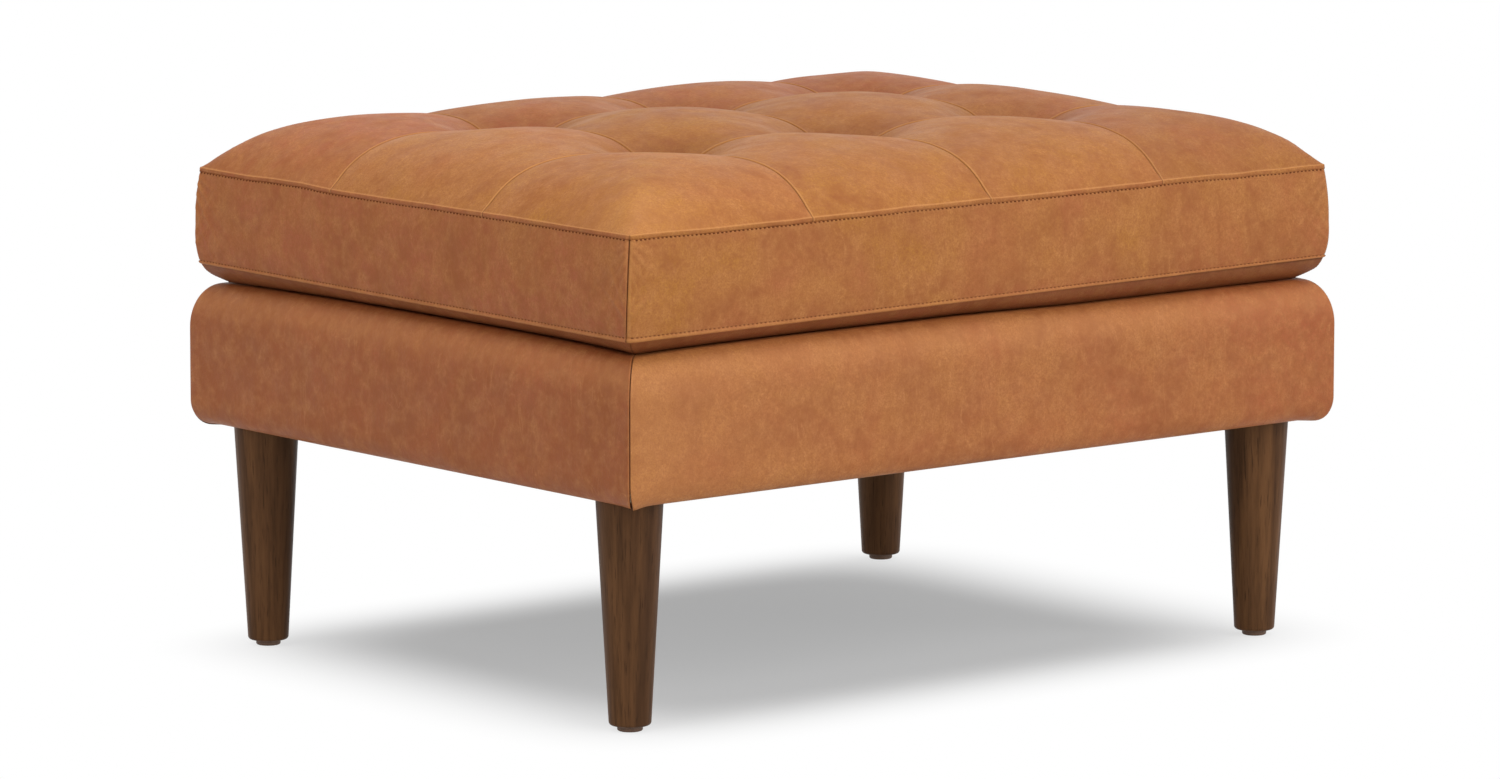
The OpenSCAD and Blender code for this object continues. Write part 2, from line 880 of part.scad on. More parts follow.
// Slider over the teeth, with a lug for the pull
module zip_slider() {
    nose = slider_l / 2;
    shoulder = slider_l / 4;
    outline = [
        [-nose, slider_w / 2 - slider_t], [-shoulder, slider_w / 2], [shoulder, slider_w / 2],
        [nose, slider_w / 2 - slider_t / 2]
    ];
    mirrored = [for (i = [len(outline) - 1 : -1 : 0]) [outline[i][0], -outline[i][1]]];
    depth = chain_t + slider_t;
    color(antique)
        on_zip()
            translate([slider_x, 0, 0])
                difference() {
                    union() {
                        translate([0, plate_u + chain_t, 0])
                            rotate([90, 0, 0])
                                linear_extrude(height = depth)
                                    polygon(concat(outline, mirrored));
                        translate([0, pin_u, 0])
                            cylinder(r = lug_r, h = lug_w, center = true);
                        translate([-lug_r, pin_u, -lug_w / 2])
                            cube([2 * lug_r, plate_u - slider_t / 2 - pin_u, lug_w]);
                    }
                    translate([-slider_l, plate_u, -chain_w / 2 - run_fit])
                        cube([2 * slider_l, chain_t + cut, chain_w + 2 * run_fit]);
                    translate([0, pin_u, 0])
                        cylinder(d = pin_d + 2 * pin_fit, h = 2 * lug_w, center = true);
                }
}

// Pull with two arms and a pin through the slider's lug
module zip_pull() {
    arm_z = lug_w / 2 + run_fit;
    arm_t = (pull_w - 2 * arm_z) / 2;
    start = lug_r + run_fit;
    end = pull_l - pull_w / 2;
    color(antique)
        on_zip()
            translate([slider_x, pin_u, 0])
                difference() {
                    union() {
                        cylinder(d = pin_d, h = pull_w, center = true);
                        for (s = [0, 1])
                            mirror([0, 0, s])
                                translate([0, 0, arm_z]) {
                                    cylinder(d = max(pin_d, pull_t) + 2 * run_fit, h = arm_t);
                                    translate([0, -pull_t / 2, 0])
                                        cube([start + cut, pull_t, arm_t]);
                                }
                        translate([start, -pull_t / 2, -pull_w / 2])
                            cube([end - start, pull_t, pull_w]);
                        translate([end, pull_t / 2, 0])
                            rotate([90, 0, 0])
                                cylinder(d = pull_w, h = pull_t);
                    }
                    translate([end, pull_t, 0])
                        rotate([90, 0, 0])
                            cylinder(d = pull_w / 2, h = 2 * pull_t);
                }
}

long_rail(-1);  // front_rail
long_rail(1);  // rear_rail
short_rail(-1);  // left_rail
short_rail(1);  // right_rail
middle_stretcher();
corner_block(CORNERS[0]);  // corner_block_front_left
corner_block(CORNERS[1]);  // corner_block_front_right
corner_block(CORNERS[2]);  // corner_block_rear_left
corner_block(CORNERS[3]);  // corner_block_rear_right
frame_screws();
t_nuts();
hanger_bolts();
leg(CORNERS[0]);  // leg_front_left
leg(CORNERS[1]);  // leg_front_right
leg(CORNERS[2]);  // leg_rear_left
leg(CORNERS[3]);  // leg_rear_right
floor_glides();
long_webbing();
cross_webbing();
deck_cloth();
deck_foam();
base_padding("front");  // front_padding
base_padding("rear");  // rear_padding
base_padding("left");  // left_padding
base_padding("right");  // right_padding
base_cover("front");  // front_cover
base_cover("rear");  // rear_cover
base_cover("left");  // left_cover
base_cover("right");  // right_cover
deck_panel();
dust_cover();
cushion_top();
cushion_border("front");  // cushion_border_front
cushion_border_rear();
cushion_border("left");  // cushion_border_left
cushion_border("right");  // cushion_border_right
cushion_underside();
foam_core();
fibre_wrap();
tuft_twines();
tuft_anchors();
zip_tapes();
zip_teeth();
zip_slider();
zip_pull();
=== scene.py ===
import json
import math

import bmesh
import bpy
import numpy as np
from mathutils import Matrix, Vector


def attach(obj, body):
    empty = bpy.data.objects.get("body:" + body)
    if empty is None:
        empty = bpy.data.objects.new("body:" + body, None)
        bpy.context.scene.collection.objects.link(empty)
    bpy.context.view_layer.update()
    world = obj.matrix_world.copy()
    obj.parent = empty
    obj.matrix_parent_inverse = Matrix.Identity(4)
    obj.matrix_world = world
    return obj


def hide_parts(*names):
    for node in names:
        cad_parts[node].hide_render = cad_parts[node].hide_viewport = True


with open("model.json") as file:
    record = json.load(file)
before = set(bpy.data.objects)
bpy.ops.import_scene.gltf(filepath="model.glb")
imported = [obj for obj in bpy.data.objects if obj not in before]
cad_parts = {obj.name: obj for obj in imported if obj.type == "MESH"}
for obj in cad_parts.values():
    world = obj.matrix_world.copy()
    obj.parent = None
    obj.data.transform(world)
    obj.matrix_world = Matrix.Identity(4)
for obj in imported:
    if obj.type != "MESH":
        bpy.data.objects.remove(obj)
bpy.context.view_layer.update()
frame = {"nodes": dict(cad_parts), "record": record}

# Millimetres, in the frame of the solids; meshes are written in metres.
MM = 0.001

# Base
BASE_W, BASE_D = 810.0, 637.0
UNDER_Z, DECK_Z = 200.0, 326.0
EDGE_IN, EDGE_DROP, UNDER_R, UNDER_UP = 22.0, 40.0, 13.0, 20.0
COVER_T, COVER_LAP, COVER_RETURN = 1.5, 70.0, 32.0
DUST_T, DUST_IN = 0.8, 18.0
LEG_X, LEG_Y = 360.5, 262.0
SEAM_GAP = 0.3

# Cushion
CUSHION_W, CUSHION_D = 804.0, 628.0
CUSHION_Z, LOW_SEAM_Z, TOP_SEAM_Z = 326.3, 345.3, 430.3
BORDER_H, LOW_IN, TOP_IN, BULGE = 85.0, 2.0, 4.0, 2.9
UNDER_IN, UNDER_RISE, UNDER_ROUND = 21.0, 19.0, 0.35
EASE_IN, EASE_UP = 32.0, 3.5
CROWN_H, CROWN_RUN, CORNER_POWER = 48.0, 35.0, 4.6
PUFF, PUFF_RUN = 9.5, 200.0
SEAMS_X, SEAMS_Y = [-200.0, 0.0, 200.0], [-109.0, 109.0]
TUFTS = [(a, b) for a in SEAMS_X for b in SEAMS_Y]
TUFT_DROP, TUFT_RUN, TUFT_POWER = 38.0, 43.0, 1.43
TOP_X, TOP_Y = CUSHION_W / 2 - TOP_IN, CUSHION_D / 2 - TOP_IN
STITCH_PITCH = 4.6
UPPER_STITCH_Z, LOWER_STITCH_Z, LIP_Z = 426.45, 345.2, 341.1
UPPER_ROW_Z = 425.6
# The lip under the lower seam: where it is fullest, where it is drawn in at the corners, where the painted
# highlight on its roll lies, and where painted highlights lie on the ridges between the stitches
LIP_FULL_Z, LIP_DRAWN_Z, LIP_HIGHLIGHT_Z, STITCH_RIDGE_HIGHLIGHT_Z = 343.2, 342.5, 342.8, 345.0

# Zip in the rear border
ZIP_L, ZIP_GAP, ZIP_Z = 620.0, 14.0, 383.3
HEM_H, TAPE_U, TAPE_T, TAPE_W, TAPE_END = 12.0, 3.3266, 0.6, 32.0, 10.0

SIDES = {"front": 0, "rear": 180, "left": -90, "right": 90}
LONG_SIDES = ("front", "rear")


def clamp01(v):
    return np.clip(v, 0.0, 1.0)


def bell(v, width):
    return np.exp(-((v / width) ** 2))


LATTICE = np.random.RandomState(7).rand(48, 48, 48)


def soft_noise(points, scale, seed):
    """Smooth noise from -1 to 1 at points in millimetres, with lumps of about the given size."""
    q = np.asarray(points, float) / scale + seed * np.array([17.31, 5.77, 11.13])
    cell = np.floor(q).astype(int)
    f = q - cell
    f = f * f * f * (f * (f * 6 - 15) + 10)
    total = np.zeros(q.shape[:-1])
    for corner in np.ndindex(2, 2, 2):
        c = np.array(corner)
        weight = np.prod(np.where(c, f, 1 - f), axis=-1)
        i = (cell + c) % len(LATTICE)
        total += weight * LATTICE[i[..., 0], i[..., 1], i[..., 2]]
    return 2 * total - 1


def stack(*parts):
    return np.stack(np.broadcast_arrays(*parts), axis=-1).astype(float)


# Meshes


def linked(name, data):
    obj = bpy.data.objects.new(name, data)
    bpy.context.scene.collection.objects.link(obj)
    return obj


def new_object(name, points, faces, marks=None):
    mesh = bpy.data.meshes.new(name)
    mesh.from_pydata((np.asarray(points) * MM).tolist(), [], [list(map(int, f)) for f in faces])
    for key, values in (marks or {}).items():
        layer = mesh.attributes.new(key, "FLOAT", "POINT")
        layer.data.foreach_set("value", np.asarray(values, np.float32).ravel())
    return linked(name, mesh)


def finish_mesh(obj, sharp_deg=62):
    bm = bmesh.new()
    bm.from_mesh(obj.data)
    loose = [v for v in bm.verts if not v.link_faces]
    bmesh.ops.delete(bm, geom=loose, context="VERTS")
    bmesh.ops.recalc_face_normals(bm, faces=bm.faces)
    bm.to_mesh(obj.data)
    bm.free()
    obj.data.polygons.foreach_set("use_smooth", [True] * len(obj.data.polygons))
    obj.data.set_sharp_from_angle(angle=math.radians(sharp_deg))
    return obj


def shell(name, outer, inner, keep=None, marks=None):
    """A closed sheet between two grids of points, without the cells that keep leaves out."""
    n, m = outer.shape[:2]
    index = np.arange(n * m).reshape(n, m)
    back = index + n * m
    keep = np.ones((n - 1, m - 1), bool) if keep is None else keep
    padded = np.zeros((n + 1, m + 1), bool)
    padded[1:-1, 1:-1] = keep
    i, j = np.nonzero(keep)
    faces = [
        np.stack([index[i, j], index[i + 1, j], index[i + 1, j + 1], index[i, j + 1]], 1),
        np.stack([back[i, j], back[i, j + 1], back[i + 1, j + 1], back[i + 1, j]], 1),
    ]
    walls = [
        ((0, -1), (0, 0), (1, 0)), ((0, 1), (1, 1), (0, 1)),
        ((-1, 0), (0, 1), (0, 0)), ((1, 0), (1, 0), (1, 1)),
    ]
    for (di, dj), a, b in walls:
        edge = keep & ~padded[1 + di : n + di, 1 + dj : m + dj]
        i, j = np.nonzero(edge)
        p, q = (i + a[0], j + a[1]), (i + b[0], j + b[1])
        faces.append(np.stack([index[q], index[p], back[p], back[q]], 1))
    points = np.concatenate([outer.reshape(-1, 3), inner.reshape(-1, 3)])
    both = {k: np.concatenate([np.ravel(v), np.zeros(n * m)]) for k, v in (marks or {}).items()}
    return finish_mesh(new_object(name, points, np.concatenate(faces), both))


GRADE = np.array([0, 0.4, 0.8, 1.2, 1.7, 2.3, 3.0, 3.8, 4.8, 6.0, 7.5, 9.4, 11.7, 14.5, 18.0])


def graded(lines, step):
    """Places from the first line to the last, closest together at the lines."""
    places = []
    for a, b in zip(lines, lines[1:]):
        count = max(2, round((b - a - 2 * GRADE[-1]) / step))
        middle = np.linspace(a + GRADE[-1], b - GRADE[-1], count + 1)
        places += [a + GRADE[:-1], middle, b - GRADE[:-1]]
    return np.unique(np.concatenate(places).round(6))


def place_side(side, w, d, s, u, z):
    """Points along one side of a body: s along it, u inwards from its face."""
    a = math.radians(SIDES[side])
    reach = d / 2 if side in LONG_SIDES else w / 2
    x, y = s, u - reach
    return stack(x * math.cos(a) - y * math.sin(a), x * math.sin(a) + y * math.cos(a), z)


def cushion_side(side, s, u, z):
    return place_side(side, CUSHION_W, CUSHION_D, s, u, z)


def base_side(side, s, u, z):
    return place_side(side, BASE_W, BASE_D, s, u, z)


# Cushion top


def panel_share(v, lines):
    k = np.clip(np.searchsorted(lines, v, side="right") - 1, 0, len(lines) - 2)
    lines = np.asarray(lines)
    return clamp01((v - lines[k]) / (lines[k + 1] - lines[k]))


def crown(x, y):
    qx = np.exp(-np.maximum(0, TOP_X - abs(x)) / CROWN_RUN) ** CORNER_POWER
    qy = np.exp(-np.maximum(0, TOP_Y - abs(y)) / CROWN_RUN) ** CORNER_POWER
    return CROWN_H * np.maximum(0, 1 - (qx + qy - qx * qy) ** (1 / CORNER_POWER))


def padded_top(x, y):
    """Height of the filled top, without seams and wrinkles."""
    lines_x, lines_y = [-TOP_X, *SEAMS_X, TOP_X], [-TOP_Y, *SEAMS_Y, TOP_Y]
    inner = clamp01((TOP_Y - abs(y)) / PUFF_RUN) * clamp01((TOP_X - abs(x)) / PUFF_RUN)
    puff = PUFF * inner * np.sin(np.pi * panel_share(x, lines_x)) * np.sin(np.pi * panel_share(y, lines_y))
    dips = sum(TUFT_DROP * np.exp(-((np.hypot(x - a, y - b) / TUFT_RUN) ** TUFT_POWER)) for a, b in TUFTS)
    return TOP_SEAM_Z + crown(x, y) + puff - dips


def seam_shape(away, rise):
    """Valley, crease and turned lip of a seam at a signed distance from it, with a painted highlight along the
    lip and painted shade in the crease.
    """
    valley = 2.1 * np.exp(-abs(away) / 13.0)
    crease = 1.0 * bell(away, 0.55)
    lip = 0.5 * bell(away - 1.3, 0.8) + 0.3 * bell(away - 3.6, 2.2)
    return rise * (lip - valley - crease), 0.85 * bell(away - 1.15, 0.65), 0.7 * bell(away + 0.1, 0.5)


def wrinkles(x, y):
    """Fine drawing of the leather at the tufts, along the edge and over the panels."""
    flat = stack(x, y, np.zeros_like(x))
    w = 0.9 * soft_noise(flat, 95, 1) + 0.4 * soft_noise(flat, 42, 2)
    for k, (a, b) in enumerate(TUFTS):
        r = np.hypot(x - a, y - b) + 1e-6
        ring = stack((x - a) / r * 2.6, (y - b) / r * 2.6, r / 70)
        fold = soft_noise(ring, 1.0, 3 + k)
        w = w + 1.5 * fold * bell(r - 30, 24) * (1 - bell(r, 9))
        w = w - 0.9 * np.exp(-abs(fold) / 0.1) * bell(r - 24, 16) * (1 - bell(r, 7))
    ex, ey = TOP_X - abs(x), TOP_Y - abs(y)
    corner = np.exp(-np.hypot(ex, ey) / 75)
    along_x = soft_noise(stack(x, ey * 0.22, np.sign(y)), 11, 11)
    along_y = soft_noise(stack(y, ex * 0.22, np.sign(x)), 11, 12)
    hold = lambda e: np.exp(-np.maximum(e, 0) / 17) * (1 - np.exp(-np.maximum(e, 0) / 4))
    w = w + (0.5 + 3.2 * corner) * (along_x * hold(ey) + along_y * hold(ex))
    edge = np.minimum(ex, ey)
    return w * clamp01(edge / 9)


# How the edge of the top rolls over into its seam with the border: outwards and up
ROLL = [
    (0.3, -0.05), (0.55, -0.22), (0.72, -0.55), (0.82, -1.1), (0.88, -1.9), (0.82, -2.7), (0.66, -3.3),
    (0.4, -3.75), (-0.5, -4.15),
]
# Share of the roll from which it takes the border's colour
ROLL_START = 0.1
CORNER_R = 5.0


def rolled(places, half):
    """Places with the rolled edge's rows added at both ends: place, outwards, up, share of the roll."""
    out, up = np.array(ROLL).T
    turn = np.arange(1, len(ROLL) + 1) / len(ROLL)
    flat = np.zeros(len(places))
    base = np.concatenate([np.full(len(ROLL), -half), places, np.full(len(ROLL), half)])
    offset = np.concatenate([-out[::-1], flat, out])
    return base, offset, np.concatenate([up[::-1], flat, up]), np.concatenate([turn[::-1], flat, turn])


def round_corners(x, y, half_x, half_y, radius):
    """Draws the square corners of a plan into quarter circles."""
    a, b = abs(x) - (half_x - radius), abs(y) - (half_y - radius)
    inside = (a > 0) & (b > 0)
    pull = np.where(inside, np.maximum(a, b) / np.maximum(np.hypot(a, b), 1e-9), 1.0)
    rx = np.where(inside, half_x - radius + a * pull, abs(x))
    ry = np.where(inside, half_y - radius + b * pull, abs(y))
    return np.sign(x) * rx, np.sign(y) * ry


# How golden the leather of the top is, panel by panel from left to right; below nought it is deeper
TOP_TONES = np.array([1.2, 1.4, 1.3, 0.75])
# How that changes in rows from front to rear, and how much painted shade darkens each panel, by row and by
# panel, so that the middle, rear and right panels read as less lit
ROW_TONES = np.array([0.0, -0.1, -0.8])
TOP_PAINTED_SHADES = np.array([[0.0, 0.07, 0.1, 0.24], [0.03, 0.19, 0.21, 0.22], [0.06, 0.2, 0.23, 0.24]])
# Painted shade in the hollows round the tufts, deeper where the top sinks
VALLEY_PAINTED_SHADE = 0.42
# How strong the painted highlight on the front left corner is
CORNER_HIGHLIGHT = 0.25


def panel_hide(x, y):
    """Which hide each panel is cut from."""
    column, row = np.searchsorted(SEAMS_X, x), np.searchsorted(SEAMS_Y, y)
    return np.random.RandomState(3).rand(len(SEAMS_X) + 1, len(SEAMS_Y) + 1)[column, row]


def border_tone(side, share):
    """How golden a border is along its length, from -1 to 1."""
    return BORDER_TONES[side] + TONE_RUN[side] * share


def upper_wave(x, y):
    """How far the upper seam wanders up and down."""
    flat = stack(x, y, 0 * x)
    return 0.9 * soft_noise(flat, 75, 71) + 0.4 * soft_noise(flat, 27, 72)


def make_top():
    bx, ox, rx, tx = rolled(graded([-TOP_X, *SEAMS_X, TOP_X], 4.0), TOP_X)
    by, oy, ry, ty = rolled(graded([-TOP_Y, *SEAMS_Y, TOP_Y], 4.0), TOP_Y)
    x, y = np.meshgrid(bx, by, indexing="ij")
    plain = padded_top(x, y)
    rise = clamp01(crown(x, y) / 9)
    z = plain + wrinkles(x, y)
    paleness_and_highlight, dark = np.zeros_like(z), np.zeros_like(z)
    for away_from, along, lines, seed in ((x, y, SEAMS_X, 21), (y, x, SEAMS_Y, 22)):
        for line in lines:
            wave = 0.5 * soft_noise(stack(np.full_like(along, line), along, 0 * along), 40, seed)
            # Each seam's pale lip is a painted highlight and its dark crease is painted shade
            dz, lip, crease = seam_shape(away_from - line - wave, rise)
            z, paleness_and_highlight, dark = z + dz, np.maximum(paleness_and_highlight, lip), np.maximum(dark, crease)
    drop = np.minimum(rx[:, None], ry[None, :])
    turn = np.maximum(tx[:, None], ty[None, :])
    along = np.where(tx[:, None] > ty[None, :], y, x)
    beat = 0.25 * np.cos(2 * np.pi * along / STITCH_PITCH) * bell(turn - 0.78, 0.15)
    px, py = x + ox[:, None], y + oy[None, :]
    px = px - np.sign(x) * beat * (tx[:, None] > 0)
    py = py - np.sign(y) * beat * (ty[None, :] > 0)
    px, py = round_corners(px, py, TOP_X, TOP_Y, CORNER_R)
    edge = np.minimum(TOP_X - abs(x), TOP_Y - abs(y))
    outer = stack(px, py, z + drop + upper_wave(x, y) * clamp01(1 - edge / 14))
    # A painted highlight along the crest of the rolled edge
    crest_highlight = np.where(turn > 0, bell(turn - 0.15, 0.16), bell(edge, 0.5))
    paleness_and_highlight = np.where(edge < 3, np.maximum(paleness_and_highlight, 0.6 * crest_highlight), paleness_and_highlight)
    # A painted highlight on the front left corner of the top
    paleness_and_highlight = np.maximum(paleness_and_highlight, CORNER_HIGHLIGHT * bell(np.hypot(x + TOP_X, y + TOP_Y) - 30, 45) * (turn == 0))
    # Painted shade in the fold of the roll at each corner
    mitre = bell((TOP_X - abs(x)) - (TOP_Y - abs(y)), 0.5) * (turn > ROLL_START) * (edge < 0.5)
    dark = np.maximum(dark, 0.5 * mitre)
    inside = np.minimum(plain - 1.5 * COVER_T - 2.0 * rise, plain + drop - COVER_T)
    ix, iy = np.clip(x, 1.6 - TOP_X, TOP_X - 1.6), np.clip(y, 1.6 - TOP_Y, TOP_Y - 1.6)
    inner = stack(*round_corners(ix, iy, TOP_X, TOP_Y, CORNER_R), inside)
    hide = panel_hide(x, y)
    column, row = np.searchsorted(SEAMS_X, x), np.searchsorted(SEAMS_Y, y)
    tone, shade = TOP_TONES[column] + ROW_TONES[row] + 0.2 * (hide - 0.5), TOP_PAINTED_SHADES[row, column]
    for side, there, share in (
        ("front", y < 0, x / TOP_X), ("rear", y > 0, -x / TOP_X),
        ("left", x < 0, -y / TOP_Y), ("right", x > 0, y / TOP_Y),
    ):
        ends = tx[:, None] >= ty[None, :]
        band = (turn > ROLL_START) & there & (~ends if side in LONG_SIDES else ends)
        tone, shade = np.where(band, border_tone(side, share), tone), np.where(band, 0, shade)
    # Painted shade in the tuft hollows, added to the painted shade of each panel
    sunk = clamp01((TOP_SEAM_Z + crown(x, y) - plain) / TUFT_DROP)
    valley = np.where(turn > 0, 0, VALLEY_PAINTED_SHADE * sunk**0.8)
    dark = np.maximum(dark, shade + valley)
    marks = {"paleness_and_highlight": paleness_and_highlight, "crease": dark, "hide": hide, "tone": tone}
    return shell("cushion_top_leather", outer, inner, marks=marks)


# Strips of leather along the sides


# The seam at a mitred corner: half its open width and the rows that fold into it, by depth and half width
SEAM_OPEN = 0.45
SEAM_FOLD = [(0.3, 0.26), (0.9, 0.1), (2.2, -0.08)]
ARC_ROWS = 6


def corner_rows(radius, lean):
    """Rows that round a strip's end into its seam, which leans off the mitre: back from the corner, inwards."""
    seam = math.pi / 4 + lean
    last = seam - np.arcsin(SEAM_OPEN / radius)
    rows = []
    for k in range(ARC_ROWS):
        a = last * k / (ARC_ROWS - 1)
        rows.append((radius * (1 - np.sin(a)), radius * (1 - np.cos(a))))
    for down, off in SEAM_FOLD:
        reach = radius * np.cos(np.arcsin(SEAM_OPEN / radius)) - down
        along = reach * np.sin(seam) - off * np.cos(seam)
        out = reach * np.cos(seam) + off * np.sin(seam)
        rows.append((radius - along, radius - out))
    return rows


def profile_normals(profile):
    d = np.gradient(profile, axis=0)
    n = np.stack([d[:, 1], -d[:, 0]], 1)
    return n / np.linalg.norm(n, axis=1, keepdims=True)


def strip_grid(profile, half, step, radius, leans=(0.0, 0.0)):
    """Along and inwards places of a strip, by row of its profile, and the distance to its end seams."""
    count = round(2 * half / step)
    share = np.linspace(-1, 1, count + 1)
    u = profile[:, 0]
    grow = lambda rows: np.stack([np.broadcast_to(r, u.shape) for r in rows])
    ends = []
    for lean in leans:
        rows = corner_rows(radius, lean)[1:]
        arc = radius * (math.pi / 4 + lean)
        left = [arc * (1 - k / (ARC_ROWS - 1)) for k in range(1, ARC_ROWS)] + [0.0 * arc] * len(SEAM_FOLD)
        back, inwards = (grow([r[k] for r in rows]) for k in range(2))
        ends.append((half - u - back, inwards + u, grow(left), grow([arc])))
    (first, first_in, first_left, first_arc), (last, last_in, last_left, last_arc) = ends
    flat = share[:, None] * (half - u - radius)
    left = (half - u - radius) - abs(flat) + np.where(flat < 0, first_arc, last_arc)
    s = np.concatenate([-first[::-1], flat, last])
    inset = np.concatenate([first_in[::-1], np.broadcast_to(u, flat.shape), last_in])
    return s, inset, np.concatenate([first_left[::-1], left, last_left])


def end_marks(s):
    """The seam at a strip's end: painted shade in its fold and paler on its lip."""
    fold = len(SEAM_FOLD)
    dark, paleness_and_highlight = np.zeros_like(s), np.zeros_like(s)
    dark[:fold], dark[-fold:] = 1, 1
    dark[fold], dark[-fold - 1] = 0.35, 0.35
    paleness_and_highlight[fold + 1 : fold + 3] = 0.3
    paleness_and_highlight[-fold - 3 : -fold - 1] = 0.3
    return paleness_and_highlight, dark


# How much fuller the border is just over its lower seam
LOW_FULL = 0.55


def border_u(t):
    full = LOW_FULL * np.sin(np.pi * clamp01(t / 0.4))
    return LOW_IN + (TOP_IN - LOW_IN) * t - 4 * BULGE * t * (1 - t) - full


def border_at(z):
    return border_u((z - LOW_SEAM_Z) / BORDER_H)


def border_profile():
    """Inwards distance and height of the border from its upper seam down to its rolled lower lip."""
    high = UPPER_STITCH_Z - 0.05
    zs = np.unique(
        np.concatenate([
            high - np.array([0, 0.12, 0.3, 0.55, 0.9, 1.4, 2.1, 3, 4.2, 5.6, 7.4]),
            np.linspace(high - 9, LOWER_STITCH_Z + 8, 42), [ZIP_Z - ZIP_GAP / 2, ZIP_Z + ZIP_GAP / 2],
            np.linspace(LOWER_STITCH_Z + 6, LOWER_STITCH_Z + 1.2, 5),
            np.linspace(LOWER_STITCH_Z + 0.9, LIP_Z, 16),
        ]).round(4)
    )[::-1]
    u = border_at(zs) + 0.6 * np.exp(-(high - zs) / 0.3)
    u = u + 0.5 * bell(zs - LOWER_STITCH_Z, 0.6) - 0.85 * bell(zs - LIP_FULL_Z, 1.35)
    u = u + 2.2 * np.exp(-(zs - LIP_Z) / 0.3)
    return np.stack([u, zs], 1)


# Rise of the lower seam at the two ends of each side
SEAM_RISE = {"front": (-1.4, 4.8), "right": (4.8, 3.4), "rear": (3.4, 2.5), "left": (2.5, -1.4)}


def seam_run(side, share):
    a, b = SEAM_RISE[side]
    return a + (b - a) * (share + 1) / 2


def seam_lift(side, share, z):
    """How far a point of the border is raised because its lower seam doesn't run level."""
    return seam_run(side, share) * clamp01(1 - (z - LIP_Z) / 22) ** 1.5


# How much larger the border's corner radius is than the top's, and how much more at its lower seam
CORNER_MORE, LOW_CORNER = 1.0, 1.5


def upper_share(z):
    """How much of the upper seam's wander a point of the border follows."""
    return np.exp(-(UPPER_STITCH_Z - z) / 12)


def border_radius(z):
    """The border's corners, rounder where they are drawn in at the lower seam."""
    return CORNER_R + CORNER_MORE + LOW_CORNER * np.exp(-(z - LIP_Z) / 16)


# Small folds that run out of a corner: slope, distance under the upper seam, height
PUCKERS = [
    (0.45, 3.0, 1.3), (0.8, 8.0, 1.7), (1.25, 15.0, 1.5), (1.9, 25.0, 1.0),
    (-0.8, 66.0, 1.5), (-1.4, 58.0, 1.1),
]


def puckers(z, to_end):
    total = 0.0
    for slope, start, height in PUCKERS:
        across = (z - UPPER_STITCH_Z + start + slope * to_end) / math.hypot(1, slope)
        total = total + height * bell(across, 1.7) * np.exp(-to_end / 16) * clamp01(to_end / 4)
    return total


def border_relief(points, s, z, to_end):
    """How far the border stands out: soft waves, gathers at its seams and the draw of each stitch."""
    out = 0.8 * soft_noise(points, 130, 31) + 0.35 * soft_noise(points, 48, 32)
    near_top = np.exp(-(UPPER_STITCH_Z - z) / 14)
    near_low = np.exp(-(z - LIP_Z) / 14)
    gather = soft_noise(stack(points[..., 0] + points[..., 1], z * 0.2, 0 * z), 9, 33)
    corner = np.exp(-np.maximum(to_end, 0) / 24)
    out = out + gather * (0.2 * near_top + 0.35 * near_low)
    slant = soft_noise(stack(to_end * 0.55 + z * 0.35, z - to_end, 0 * z), 11, 34)
    out = out + 0.9 * slant * corner * clamp01(to_end / 6)
    out = out + puckers(z, to_end)
    beat = np.cos(2 * np.pi * s / STITCH_PITCH)
    out = out - 0.3 * beat * bell(z - UPPER_ROW_Z, 0.8)
    out = out - 0.3 * beat * bell(z - LOWER_STITCH_Z, 0.9)
    out = out - 0.6 * corner * bell(z - LIP_DRAWN_Z, 2.5)
    return out * clamp01(to_end / 4) * clamp01((UPPER_STITCH_Z - 0.2 - z) / 0.4) * clamp01((z - LIP_Z) / 0.5)


# How far the seams at the border's corners wander round the corner at their lower end, by side and end
SEAM_LEAN = 26.0
LEANING = {"front": (1.0, -0.4), "right": (0.4, 0.5), "rear": (-0.5, 0.3), "left": (-0.3, -1.0)}


